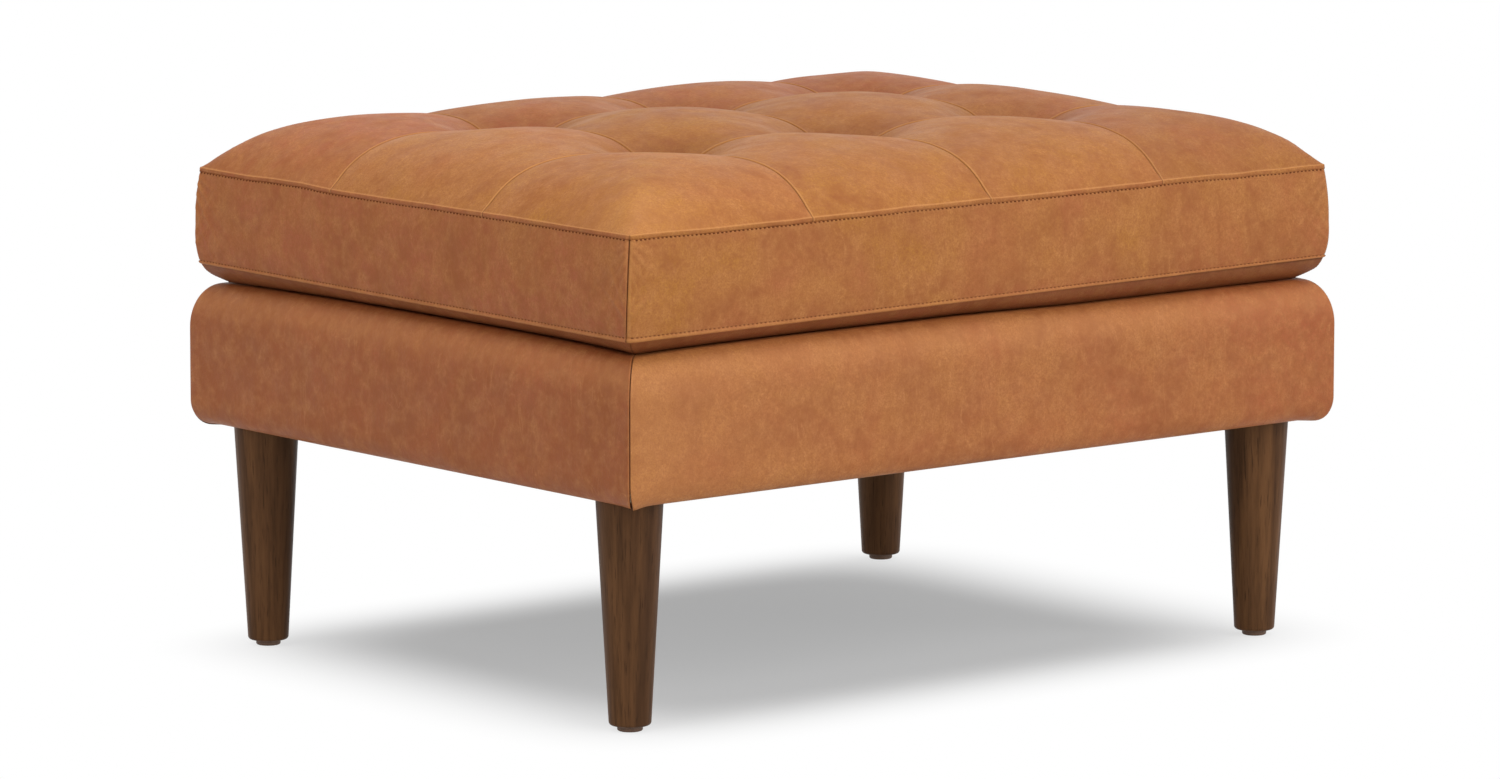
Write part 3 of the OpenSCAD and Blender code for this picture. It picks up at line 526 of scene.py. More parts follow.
def make_border(side):
    profile = border_profile()
    half = (CUSHION_W if side in LONG_SIDES else CUSHION_D) / 2
    lean = np.radians(SEAM_LEAN) * clamp01((UPPER_STITCH_Z - profile[:, 1]) / BORDER_H)
    leans = [k * lean for k in LEANING[side]]
    s, inset, to_end = strip_grid(profile, half, STITCH_PITCH / 3, border_radius(profile[:, 1]), leans)
    zip_edge = ZIP_L / 2
    if side == "rear":
        near = abs(abs(s) - zip_edge) < STITCH_PITCH / 6
        s = np.where(near, np.sign(s) * zip_edge, s)
    z = np.broadcast_to(profile[:, 1], s.shape)
    flat = cushion_side(side, s, inset, z)
    out = border_relief(flat, s, z, to_end)
    keep, thick = None, np.full_like(s, COVER_T)
    if side == "rear":
        dx, dz = abs(s) - zip_edge, abs(z - ZIP_Z) - ZIP_GAP / 2
        away = np.hypot(np.maximum(dx, 0), np.maximum(dz, 0))
        out = out * clamp01(away / 12) - 0.9 * np.exp(-away / 0.8)
        hem = (dz < HEM_H) & (abs(s) < zip_edge + 0.01)
        thick = np.where(hem, TAPE_U - 0.02 - inset, thick)
        cs, cz = (s[:-1, :-1] + s[1:, 1:]) / 2, (z[:-1, :-1] + z[1:, 1:]) / 2
        keep = ~((abs(cs) < zip_edge) & (abs(cz - ZIP_Z) < ZIP_GAP / 2))
    lifted = z + seam_lift(side, s / half, z) + upper_wave(flat[..., 0], flat[..., 1]) * upper_share(z)
    outer = cushion_side(side, s, inset - out, lifted)
    inner = cushion_side(side, s, inset + thick, lifted)
    paleness_and_highlight, dark = end_marks(s)
    beat = 0.5 - 0.5 * np.cos(2 * np.pi * s / STITCH_PITCH)
    # Painted shade at the stitch holes of both seams, where each thread goes into the leather
    dark = np.maximum(dark, (0.4 - 0.4 * beat) * bell(z - UPPER_ROW_Z, 0.6))
    dark = np.maximum(dark, (0.45 - 0.45 * beat) * bell(z - LOWER_STITCH_Z, 0.5))
    # Painted shade where the lip turns under into the rim
    dark = np.maximum(dark, bell(z - LIP_Z, 0.25))
    # Painted highlights: on the lower lip's roll, on the ridges between the stitches of both seams and on the
    # crests of the corner puckers
    paleness_and_highlight = np.maximum(paleness_and_highlight, 0.45 * bell(z - LIP_HIGHLIGHT_Z, 1.1) + 0.45 * beat * bell(z - STITCH_RIDGE_HIGHLIGHT_Z, 0.8))
    paleness_and_highlight = np.maximum(paleness_and_highlight, 0.35 * beat * bell(z - UPPER_ROW_Z, 0.8))
    paleness_and_highlight = np.maximum(paleness_and_highlight, 0.2 * puckers(z, to_end))
    # Redder and darker towards the lower seam: painted shade where the border turns down towards the base
    tone = border_tone(side, s / half) - 0.5 * np.exp(-(z - LIP_Z) / 26)
    marks = {"paleness_and_highlight": paleness_and_highlight, "crease": dark, "hide": 0 * s + HIDES[side] + 2, "tone": tone}
    return shell(f"cushion_border_{side}_leather", outer, inner, keep, marks)


# How far the rim rises over the deck at one end of each side, in its middle and at its other end,
# as shares of EASE_UP, and how fast it rises from each end
RIM_LIFT = {
    "front": (0.0, 0.85, 0.15), "right": (0.15, 0.85, 0.1), "rear": (0.1, 0.85, 0.0), "left": (0.0, 1.12, 0.0),
}
RIM_POWER = {"front": (5.0, 5.0), "right": (5.0, 5.0), "rear": (5.0, 2.2), "left": (2.2, 5.0)}


def arch(side, share):
    """How far the cushion's rim and the base's edge rise along a side; the front falls off to the right."""
    first, middle, last = RIM_LIFT[side]
    ends = np.where(share < 0, first, last)
    lift = 1 - abs(share) ** np.where(share < 0, *RIM_POWER[side])
    if side == "front":
        lift = lift * (1 - 0.9 * clamp01((share + 0.05) / 0.33))
    return EASE_UP * (ends + (middle - ends) * clamp01(lift))


# Rows of the rim's mesh, from its seam inwards
RIM_ROWS = np.array(
    [0, 0.5, 1, 1.5, 2.1, 2.8, 3.6, 4.6, 6, 7.5, 9, 10.5, 12, 14, 16, 18, 19.7, 22, 26, 32, 40, 48, 54]
)


def make_underside():
    def rim(e, lift):
        k = clamp01(1 - e / UNDER_IN)
        steep = UNDER_ROUND * (1 - np.sqrt(1 - k * k)) + (1 - UNDER_ROUND) * k
        return (UNDER_RISE - lift) * steep + lift * clamp01(1 - (e - UNDER_IN) / EASE_IN)

    lx, ly = CUSHION_W / 2 - LOW_IN, CUSHION_D / 2 - LOW_IN
    tuck = 1.3
    ring = tuck + RIM_ROWS

    def places(half):
        middle = np.linspace(ring[-1] - half, half - ring[-1], 150)
        return np.unique(np.concatenate([ring - half, half - ring, middle]).round(5))

    x, y = np.meshgrid(places(lx), places(ly), indexing="ij")
    ex, ey = lx - abs(x), ly - abs(y)
    e = np.minimum(ex, ey)
    along = np.where(ex < ey, y, x)
    mitre = abs(ex - ey) / math.sqrt(2)
    gather = soft_noise(stack(along, e * 0.3, np.sign(x) * (ex < ey)), 15, 41)
    swell = 0.5 + 0.5 * gather + 0.6 * soft_noise(stack(x, y, 0 * x), 70, 42)
    fold = 0.4 * bell(mitre, 1.2) * (e < UNDER_IN)
    lift, run = (
        np.where(
            ex < ey, np.where(x < 0, height("left", -y / ly), height("right", y / ly)),
            np.where(y < 0, height("front", x / lx), height("rear", -x / lx)),
        )
        for height in (arch, seam_run)
    )
    low = rim(e, lift) + run * clamp01(1 - e / 9) ** 2 - np.maximum(swell, 0) * bell(e - 10, 6) + fold
    z = CUSHION_Z + np.maximum(low, 0)
    px, py = round_corners(x, y, lx, ly, CORNER_R + CORNER_MORE + LOW_CORNER)
    outer = stack(px, py, z)
    pull = lambda v, half: np.clip(v, tuck + 1.4 - half, half - tuck - 1.4)
    ix, iy = round_corners(pull(x, lx), pull(y, ly), lx, ly, CORNER_R + CORNER_MORE + LOW_CORNER)
    inner = stack(ix, iy, np.maximum(z + COVER_T * 0.7, CUSHION_Z + COVER_T))
    # Painted shade in the tuck under the lip and in the folds at the corners
    dark = np.maximum(0.8 * bell(e - tuck, 0.9), 0.9 * bell(mitre, 0.45) * (e < UNDER_IN + 4))
    # Painted shade over the whole underside, deepest on the rim and the ring next to it
    dark = np.maximum(dark, 0.46 - 0.26 * clamp01((e - UNDER_IN - EASE_IN) / 30))
    # The underside's low tone is painted shade too, darkening the rim that faces down
    marks = {"paleness_and_highlight": 0 * e, "crease": dark, "hide": 0 * e + 7.3, "tone": 0 * e - 0.4}
    return shell("cushion_underside_leather", outer, inner, marks=marks)


# Base


def base_profile():
    def arc(cx, cz, rx, rz, a, b, n):
        turns = np.linspace(math.radians(a), math.radians(b), n)
        return [(cx + rx * math.cos(k), cz + rz * math.sin(k)) for k in turns]

    lap = [(u, DECK_Z) for u in np.linspace(COVER_LAP, EDGE_IN + 3, 10)]
    top = arc(EDGE_IN, DECK_Z - EDGE_DROP, EDGE_IN, EDGE_DROP, 90, 180, 18)
    face = [(0.0, z) for z in np.linspace(DECK_Z - EDGE_DROP, UNDER_Z + UNDER_UP, 20)[1:-1]]
    low = arc(UNDER_R, UNDER_Z + UNDER_UP, UNDER_R, UNDER_UP, 180, 270, 13)
    back = [(u, UNDER_Z) for u in np.linspace(UNDER_R, COVER_RETURN, 7)[1:]]
    return np.array(lap + top + face + low + back)


BASE_CORNER_R = 4.0
# Room between the base's edge and the cushion's rim
RIM_CLEAR = 0.3
HIDES = {"front": 0.15, "rear": 0.45, "left": 0.95, "right": 0.6}
# How much paler each cover grows towards one of its ends
COVER_END_PALE = {"front": 0.25, "rear": 0.1, "left": 0.0, "right": 0.1}
# How golden each cover's leather is; the left cover's deep tone is partly painted shade for the side turned
# from the light
COVER_TONES = {"front": 0.72, "rear": 0.55, "left": -0.55, "right": 0.4}
BORDER_TONES = {"front": 0.95, "rear": 0.6, "left": 0.2, "right": 0.55}
# How these tones change along each side
TONE_RUN = {"front": -0.3, "rear": -0.25, "left": 0.25, "right": -0.25}


def make_cover(side):
    profile = base_profile()
    normal = profile_normals(profile)
    half = (BASE_W if side in LONG_SIDES else BASE_D) / 2
    s, inset, to_end = strip_grid(profile, half, 4.0, BASE_CORNER_R)
    z = np.broadcast_to(profile[:, 1], s.shape)
    flat = base_side(side, s, inset, z)
    level = clamp01((DECK_Z - 0.5 - z) / 16) * clamp01((z - UNDER_Z) / 6)
    out = 0.75 * soft_noise(flat, 150, 51) + 0.35 * soft_noise(flat, 55, 52)
    under = soft_noise(stack(flat[..., 0] + flat[..., 1], z * 0.3, 0 * z), 26, 53)
    out = out + 0.6 * under * bell(z - (UNDER_Z + 8), 12)
    slant = soft_noise(stack(to_end * 0.6 + z * 0.25, z - to_end, 0 * z), 15, 54)
    out = out + 0.45 * slant * np.exp(-np.maximum(to_end, 0) / 28)
    out = (out + 0.25) * level * clamp01(to_end / 5)
    wrap = 2.3 if side in LONG_SIDES else 0.9
    out = out + wrap * bell(to_end, 10) * bell(z - UNDER_Z, 9)
    shift_u, shift_z = normal[:, 0], normal[:, 1]
    rise = np.maximum(arch(side, np.clip(s / (half - EDGE_IN), -1, 1)) - RIM_CLEAR, 0)
    rise = rise * clamp01((z - DECK_Z) / EDGE_DROP + 1) * clamp01((EDGE_IN + EASE_IN - inset) / EASE_IN)
    outer = base_side(side, s, inset + out * shift_u, z + rise + out * shift_z)
    inner = base_side(side, s, inset - COVER_T * shift_u, z + rise - COVER_T * shift_z)
    paleness_and_highlight, dark = end_marks(s)
    # Paler towards one end of each side
    paleness_and_highlight = np.maximum(paleness_and_highlight, COVER_END_PALE[side] * clamp01(-s / half) ** 2)
    # A painted highlight along the top rounding of the base
    paleness_and_highlight = np.maximum(paleness_and_highlight, 0.24 * bell(z - (DECK_Z - 15), 11))
    # Painted shade on the lap under the cushion
    dark = np.maximum(dark, 0.35 * clamp01((inset - 19) / 6))
    tone = COVER_TONES[side] + TONE_RUN[side] * s / half
    marks = {"paleness_and_highlight": paleness_and_highlight, "crease": dark, "hide": 0 * s + HIDES[side], "tone": tone}
    return shell(f"{side}_cover_leather", outer, inner, marks=marks)


# Cloth: how far from its edge a sheet sags fully, and the step of its mesh
SAG_RUN, SHEET_STEP = 60.0, 8.0


def flat_sheet(name, half_x, half_y, low, thick, step, sag):
    places = [np.linspace(-half, half, round(2 * half / step) + 1) for half in (half_x, half_y)]
    x, y = np.meshgrid(*places, indexing="ij")
    dz = sag(x, y)
    return shell(name, stack(x, y, low + thick + dz), stack(x, y, low + dz))


def make_deck():
    inset = COVER_LAP + SEAM_GAP
    half_x, half_y = BASE_W / 2 - inset, BASE_D / 2 - inset

    def sag(x, y):
        edge = clamp01(np.minimum(half_x - abs(x), half_y - abs(y)) / SAG_RUN)
        return -1.2 * edge * (0.6 + 0.4 * soft_noise(stack(x, y, 0 * x), 90, 61))

    return flat_sheet("deck_panel_cloth", half_x, half_y, DECK_Z - COVER_T, COVER_T, SHEET_STEP, sag)


def make_dust_cover():
    half_x, half_y = BASE_W / 2 - DUST_IN, BASE_D / 2 - DUST_IN
    legs = [(a * LEG_X, b * LEG_Y) for a in (-1, 1) for b in (-1, 1)]

    def sag(x, y):
        near = sum(bell(np.hypot(x - a, y - b), 70) for a, b in legs)
        edge = clamp01(np.minimum(half_x - abs(x), half_y - abs(y)) / SAG_RUN)
        return -(2.2 + 0.9 * soft_noise(stack(x, y, 0 * x), 80, 62)) * edge * clamp01(1 - near)

    return flat_sheet("dust_cover_cloth", half_x, half_y, UNDER_Z - DUST_T, DUST_T, SHEET_STEP, sag)


def make_tape(name, sign):
    half = ZIP_L / 2 + TAPE_END
    s, z = np.meshgrid(np.linspace(-half, half, 330), np.linspace(0.5, TAPE_W / 2, 24), indexing="ij")
    rib = 0.07 * np.cos(2 * np.pi * z / 1.3) * clamp01((TAPE_W / 2 - z) / 1.0)
    z = ZIP_Z + sign * z
    front = cushion_side("rear", s, TAPE_U + 0.08 - rib, z)
    back = cushion_side("rear", s, TAPE_U + TAPE_T, z)
    return shell(name, front, back)


# Thread and staples


# Length and thickness, as a radius, of each kind of stitch and of a staple
UPPER_STITCH, LOWER_STITCH, ZIP_STITCH, STAPLE = (2.9, 0.62), (2.5, 0.5), (2.9, 0.48), (9.5, 0.45)
STAPLE_IN, STAPLE_PITCH = 5.0, 38.0


def capsule(length, radius, sides=7):
    """Points and faces of a thread's visible loop, lying along X."""
    rings = [(-0.5, 0.0), (-0.42, 0.7), (-0.2, 1.0), (0.2, 1.0), (0.42, 0.7), (0.5, 0.0)]
    points, faces = [], []
    for x, r in rings[1:-1]:
        for k in range(sides):
            a = 2 * math.pi * k / sides
            points.append((x * length, r * radius * math.cos(a), r * radius * math.sin(a)))
    first, last = len(points), len(points) + 1
    points += [(-length / 2, 0, -radius * 0.6), (length / 2, 0, -radius * 0.6)]
    rows = len(rings) - 2
    for q in range(rows - 1):
        for k in range(sides):
            a, b = q * sides + k, q * sides + (k + 1) % sides
            faces.append((a, b, b + sides, a + sides))
    for k in range(sides):
        faces.append((first, (k + 1) % sides, k))
        faces.append((last, (rows - 1) * sides + k, (rows - 1) * sides + (k + 1) % sides))
    return np.array(points), faces


def stitches(name, places, along, out, length, radius):
    """One loop of thread at each place, lying along the seam and proud of the leather."""
    form, faces = capsule(length, radius)
    points, all_faces = [], []
    for k, (p, a, o) in enumerate(zip(places, along, out)):
        side = np.cross(o, a)
        points.append(p + form[:, :1] * a + form[:, 1:2] * side + form[:, 2:3] * o)
        all_faces += [tuple(i + k * len(form) for i in f) for f in faces]
    return finish_mesh(new_object(name, np.concatenate(points), all_faces), 80)


def side_axes(side):
    a = math.radians(SIDES[side])
    return np.array([math.cos(a), math.sin(a), 0]), np.array([math.sin(a), -math.cos(a), 0])


def border_row(z, u):
    """Stitch places along all four borders at one height and inwards distance, up to the corner seams."""
    places, along, out = [], [], []
    r, lean = border_radius(z), math.radians(SEAM_LEAN) * clamp01((UPPER_STITCH_Z - z) / BORDER_H)
    for side in SIDES:
        half = (CUSHION_W if side in LONG_SIDES else CUSHION_D) / 2
        flat_half = half - u - r
        first, last = (flat_half + r * (math.pi / 4 + k * lean) - STITCH_PITCH / 2 for k in LEANING[side])
        d = np.arange(-math.floor(first / STITCH_PITCH), math.floor(last / STITCH_PITCH) + 1) * STITCH_PITCH
        turn = np.sign(d) * np.maximum(abs(d) - flat_half, 0) / r
        s = np.clip(d, -flat_half, flat_half) + r * np.sin(turn)
        flat = cushion_side(side, s, u + r * (1 - np.cos(turn)), np.full_like(s, z))
        to_end = np.where(d < 0, first + d, last - d)
        relief = border_relief(flat, s, np.full_like(s, z), to_end)
        a, o = side_axes(side)
        lift = stack(0, 0, seam_lift(side, s / half, z) + upper_wave(flat[:, 0], flat[:, 1]) * upper_share(z))
        places.append(flat + relief[:, None] * o + lift)
        along.append(np.cos(turn)[:, None] * a - np.sin(turn)[:, None] * o)
        out.append(np.cos(turn)[:, None] * o + np.sin(turn)[:, None] * a)
    return np.concatenate(places), np.concatenate(along), np.concatenate(out)


def zip_rows():
    a, o = side_axes("rear")
    s = np.arange(-ZIP_L / 2 + 2, ZIP_L / 2 - 1, STITCH_PITCH)
    places = []
    for sign in (-1, 1):
        z = ZIP_Z + sign * (ZIP_GAP / 2 + 5)
        u = border_at(z) + 0.1
        flat = cushion_side("rear", s, np.full_like(s, u), np.full_like(s, z))
        relief = border_relief(flat, s, np.full_like(s, z), CUSHION_W / 2 - abs(s)) * (5 / 12)
        places.append(flat + relief[:, None] * o)
    places = np.concatenate(places)
    return places, np.tile(a, (len(places), 1)), np.tile(o, (len(places), 1))


def staples():
    """Wire staples that hold the dust cover to the rails."""
    places, along = [], []
    half_x, half_y = BASE_W / 2 - DUST_IN - STAPLE_IN, BASE_D / 2 - DUST_IN - STAPLE_IN
    for long_side, half, reach in ((True, half_x, half_y), (False, half_y, half_x)):
        for v in np.arange(-half + 14, half - 13, STAPLE_PITCH):
            for sign in (-1, 1):
                x, y = (v, sign * reach) if long_side else (sign * reach, v)
                places.append((x, y, UNDER_Z - DUST_T))
                along.append((1, 0, 0) if long_side else (0, 1, 0))
    down = np.tile((0.0, 0.0, -1.0), (len(places), 1))
    return stitches("dust_cover_staples", np.array(places), np.array(along, float), down, *STAPLE)


# Materials


def give(tree, socket, value):
    """Links a socket to another one's value, or sets it."""
    if isinstance(value, bpy.types.NodeSocket):
        tree.links.new(value, socket)
    else:
        socket.default_value = value


def node_math(tree, kind, *values):
    node = tree.nodes.new("ShaderNodeMath")
    node.operation = kind
    for socket, value in zip(node.inputs, values):
        give(tree, socket, value)
    return node.outputs[0]


def node_span(tree, value, *limits):
    """Maps a value from one range to another."""
    node = tree.nodes.new("ShaderNodeMapRange")
    for key, v in zip(("Value", "From Min", "From Max", "To Min", "To Max"), (value, *limits)):
        give(tree, node.inputs[key], v)
    return node


class Nodes:
    """A material's node tree, with short ways to add and join its nodes."""

    def __init__(self, name):
        self.material = bpy.data.materials.new(name)
        self.material.use_nodes = True
        self.tree = self.material.node_tree
        self.shader = self.tree.nodes["Principled BSDF"]

    def add(self, kind, **inputs):
        node = self.tree.nodes.new(kind)
        for key, value in inputs.items():
            self.give(node, key, value)
        return node

    def give(self, node, key, value):
        give(self.tree, node.inputs[key if isinstance(key, int) else key.replace("_", " ")], value)

    def place(self, scale=(1, 1, 1)):
        where = self.add("ShaderNodeTexCoord").outputs["Object"]
        return self.add("ShaderNodeMapping", Vector=where, Scale=scale).outputs["Vector"]

    def noise(self, scale, detail=4.0, rough=0.55, where=None, warp=0.0):
        node = self.add("ShaderNodeTexNoise", Scale=scale, Detail=detail, Roughness=rough, Distortion=warp)
        self.give(node, "Vector", self.place() if where is None else where)
        return node.outputs["Fac"]

    def cells(self, scale, where):
        node = self.add("ShaderNodeTexVoronoi", Scale=scale)
        self.give(node, "Vector", where)
        return node.outputs["Distance"]

    def span(self, value, low, high, to_low=0.0, to_high=1.0):
        return node_span(self.tree, value, low, high, to_low, to_high).outputs["Result"]

    def math(self, kind, a, b):
        return node_math(self.tree, kind, a, b)

    def mix(self, share, a, b):
        node = self.tree.nodes.new("ShaderNodeMix")
        node.data_type = "RGBA"
        for key, value in ((0, share), (6, a), (7, b)):
            self.give(node, key, (*value, 1.0) if isinstance(value, tuple) else value)
        return node.outputs[2]

    def lay(self, colour, share, strength, over):
        return self.mix(self.math("MULTIPLY", share, strength), colour, over)

    def mark(self, name):
        node = self.tree.nodes.new("ShaderNodeAttribute")
        node.attribute_name = name
        return node.outputs["Fac"]

    def bump(self, height, strength, distance, normal=None):
        node = self.add("ShaderNodeBump", Height=height, Strength=strength, Distance=distance)
        if normal is not None:
            self.give(node, "Normal", normal)
        return node.outputs["Normal"]

    def finish(self, **inputs):
        for key, value in inputs.items():
            self.give(self.shader, key, value)
        return self.material


def leather(name, red, gold, amber, gloss):
    """Oiled pull-up leather: each hide's tone, cloudy patches, scuffs, veins and fine pores, with pale marks
    that are mostly painted highlights and dark marks that are painted shade.
    """
    n = Nodes(name)
    hide = n.mark("hide")
    shift = n.add("ShaderNodeVectorMath")
    shift.operation = "SCALE"
    shift.inputs[0].default_value = (0.71, 1.37, 0.93)
    n.give(shift, "Scale", hide)
    place = n.add("ShaderNodeVectorMath")
    place.operation = "ADD"
    n.give(place, 0, n.add("ShaderNodeTexCoord").outputs["Object"])
    n.give(place, 1, shift.outputs[0])
    here = place.outputs[0]
    deep = tuple(0.5 * (a + b) * k for a, b, k in zip(red, gold, (0.68, 0.60, 0.55)))
    pale = tuple(c * k for c, k in zip(gold, (1.28, 1.42, 1.7)))
    cloud = n.span(n.noise(5.5, 3, 0.5, here, 0.6), 0.3, 0.7, -0.4, 0.4)
    wisp = n.span(n.noise(17, 5, 0.6, here, 0.8), 0.32, 0.68, -0.35, 0.35)
    tone = n.math("ADD", n.mark("tone"), n.math("ADD", cloud, wisp))
    colour = n.mix(n.span(tone, 1.0, 1.6), n.mix(tone, red, gold), amber)
    colour = n.mix(n.span(tone, -0.7, 0.0, 0.6, 0.0), colour, deep)
    patch = n.span(n.noise(24, 6, 0.62, here, 0.5), 0.46, 0.72)
    colour = n.lay(colour, patch, 0.85, deep)
    shade = n.span(n.noise(10, 3, 0.5, here, 0.7), 0.48, 0.74)
    colour = n.lay(colour, shade, 0.55, deep)
    mottle = n.span(n.noise(80, 5, 0.65, here), 0.42, 0.72)
    colour = n.lay(colour, mottle, 0.5, pale)
    turned = n.add("ShaderNodeMapping", Vector=here, Scale=(1, 1, 0.3), Rotation=(0.25, 0.2, 0.5))
    along = turned.outputs["Vector"]
    streak = n.span(n.noise(48, 5, 0.7, along, 0.5), 0.55, 0.78)
    colour = n.lay(colour, streak, 0.6, deep)
    for scale, width, strength in ((19, 0.010, 0.42), (43, 0.018, 0.42)):
        ridge = n.math("ABSOLUTE", n.math("SUBTRACT", n.noise(scale, 2, 0.5, along, 1.4), 0.5), 0.0)
        vein = n.span(ridge, 0.0, width, 1.0, 0.0)
        vein = n.math("MULTIPLY", vein, n.span(n.noise(scale * 0.7, 3, 0.5, here), 0.48, 0.66))
        colour = n.lay(colour, vein, strength, pale)
    fleck = n.span(n.cells(130, here), 0.05, 0.16, 1.0, 0.0)
    fleck = n.math("MULTIPLY", fleck, n.span(n.noise(30, 2, 0.5, here), 0.5, 0.7))
    colour = n.lay(colour, fleck, 0.42, pale)
    pebble = n.noise(270, 3, 0.6, here)
    colour = n.mix(n.span(pebble, 0.36, 0.7, 0.0, 0.42), colour, deep)
    grain = n.noise(640, 3, 0.6, here)
    colour = n.mix(n.span(grain, 0.35, 0.7, 0.0, 0.65), colour, deep)
    # Pale marks: painted highlights on seam lips, crests, stitch ridges and folds, and paler leather towards
    # some ends
    colour = n.lay(colour, n.mark("paleness_and_highlight"), 0.85, pale)
    # Dark marks: painted shade in creases, folds, stitch holes, tuft hollows and under the cushion, and on the
    # shaded panels
    colour = n.lay(colour, n.mark("crease"), 0.9, tuple(c * 0.2 for c in deep))
    rough = n.span(n.noise(38, 4, 0.55, here), 0.3, 0.75, 0.44, 0.6)
    pores = n.math("ADD", n.cells(950, here), n.math("MULTIPLY", n.noise(420, 4, 0.55, here), 0.7))
    normal = n.bump(pores, 0.38, 0.0004)
    normal = n.bump(n.noise(105, 4, 0.6, here), 0.32, 0.0012, normal)
    return n.finish(Base_Color=colour, Roughness=rough, Normal=normal, Specular_IOR_Level=gloss)


def wood(name, light, dark, rough):
    """Straight-grained wood with the grain along Z."""
    n = Nodes(name)
    fibre = n.noise(210, 6, 0.65, n.place((1, 1, 0.035)))
    figure = n.noise(40, 4, 0.55, n.place((1, 1, 0.09)), 0.6)
    pore = n.span(n.noise(700, 2, 0.5, n.place((1, 1, 0.03))), 0.6, 0.72)
    colour = n.mix(n.span(figure, 0.32, 0.7), dark, light)
    colour = n.lay(colour, n.span(fibre, 0.4, 0.68), 0.6, tuple(0.5 * c for c in dark))
    colour = n.lay(colour, pore, 0.65, tuple(0.28 * c for c in dark))
    normal = n.bump(fibre, 0.2, 0.0004)
    return n.finish(
        Base_Color=colour, Roughness=n.span(fibre, 0.3, 0.7, rough, rough + 0.14), Normal=normal,
        Specular_IOR_Level=0.08,
    )


def woven(name, colour, dark, pitch, rough=0.85, sheen=0.2, gloss=0.2):
    """Plain-woven cloth with threads at the given pitch in metres."""
    n = Nodes(name)
    warp, weft = (
        n.add("ShaderNodeTexWave", Scale=1 / (6.283 * pitch) * 2, Distortion=0.6, Detail=2.0) for _ in range(2)
    )
    weft.bands_direction = "Y"
    for w in (warp, weft):
        n.give(w, "Vector", n.place())
    weave = n.math("MAXIMUM", warp.outputs["Fac"], weft.outputs["Fac"])
    fleck = n.noise(260, 4, 0.6)
    tint = n.mix(n.span(weave, 0.2, 0.9), dark, colour)
    tint = n.lay(tint, fleck, 0.3, dark)
    return n.finish(
        Base_Color=tint, Roughness=rough, Sheen_Weight=sheen, Normal=n.bump(weave, 0.35, pitch * 0.4),
        Specular_IOR_Level=gloss,
    )


def metal(name, light, dark, rough):
    n = Nodes(name)
    brush = n.noise(500, 4, 0.6, n.place((0.06, 1, 1)))
    stain = n.noise(60, 4)
    colour = n.mix(n.span(stain, 0.35, 0.7), light, dark)
    return n.finish(
        Base_Color=colour, Metallic=1.0, Roughness=n.span(brush, 0.3, 0.7, rough, rough + 0.15),
        Normal=n.bump(brush, 0.1, 0.0002),
    )


def plain(name, light, dark, scale, rough, bump):
    """Foam, fibre and moulded plastic: a finely mottled matt surface."""
    n = Nodes(name)
    spot = n.noise(scale, 4, 0.6)
    colour = n.mix(n.span(spot, 0.35, 0.68), light, dark)
    return n.finish(Base_Color=colour, Roughness=rough, Normal=n.bump(spot, bump, 0.0006))


MATERIALS = {
    "cushion_leather": leather(
        "tan_cushion_leather", (0.466, 0.138, 0.060), (0.508, 0.210, 0.057), (0.500, 0.216, 0.038), 0.13
    ),
    "base_leather": leather(
        "tan_base_leather", (0.432, 0.116, 0.040), (0.515, 0.203, 0.058), (0.52, 0.215, 0.056), 0.22
    ),
    "leg_wood": wood("walnut_stained_wood", (0.182, 0.082, 0.032), (0.087, 0.039, 0.017), 0.36),
    "frame_wood": wood("plain_frame_wood", (0.62, 0.44, 0.25), (0.50, 0.34, 0.19), 0.6),
    "zinc_steel": metal("zinc_plated_steel", (0.62, 0.63, 0.65), (0.45, 0.46, 0.48), 0.35),
    "glide_plastic": plain("brown_glide_plastic", (0.15, 0.075, 0.04), (0.11, 0.055, 0.03), 300, 0.55, 0.2),
    "webbing": woven("jute_webbing", (0.42, 0.32, 0.19), (0.24, 0.17, 0.09), 0.0022),
    "foam": plain("upholstery_foam", (0.82, 0.74, 0.52), (0.70, 0.61, 0.40), 420, 0.95, 0.5),
    "lining_cloth": woven("lining_cloth", (0.78, 0.76, 0.70), (0.58, 0.56, 0.50), 0.0012),
    "deck_fabric": woven("deck_cotton", (0.40, 0.22, 0.11), (0.22, 0.115, 0.055), 0.0014),
    "dust_cloth": woven("dust_cloth", (0.035, 0.034, 0.034), (0.014, 0.014, 0.014), 0.0016),
    "fibre": plain("fibre_wadding", (0.90, 0.89, 0.85), (0.78, 0.77, 0.73), 150, 0.95, 0.6),
    "thread": woven("brown_thread", (0.17, 0.05, 0.021), (0.10, 0.028, 0.012), 0.0006, 0.8, 0.0, 0.0),
    "zip_tape": woven("zip_tape_cloth", (0.11, 0.062, 0.04), (0.05, 0.03, 0.02), 0.0009),
    "zip_metal": metal("antique_brass", (0.46, 0.33, 0.16), (0.25, 0.17, 0.09), 0.3),
}
LOWER_THREAD = woven("tan_thread", (0.29, 0.105, 0.046), (0.18, 0.062, 0.028), 0.0006, 0.8, 0.0, 0.0)


def dress(obj, slot, body, *nodes, material=None):
    obj.data.materials.clear()
    obj.data.materials.append(material or MATERIALS[slot])
    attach(obj, body)
    if nodes:
        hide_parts(*nodes)
    return obj


for part in frame["record"]["subparts"]:
    node = frame["nodes"][part["node"]]
    node.data.materials.clear()
    node.data.materials.append(MATERIALS[part["material_slot"]])

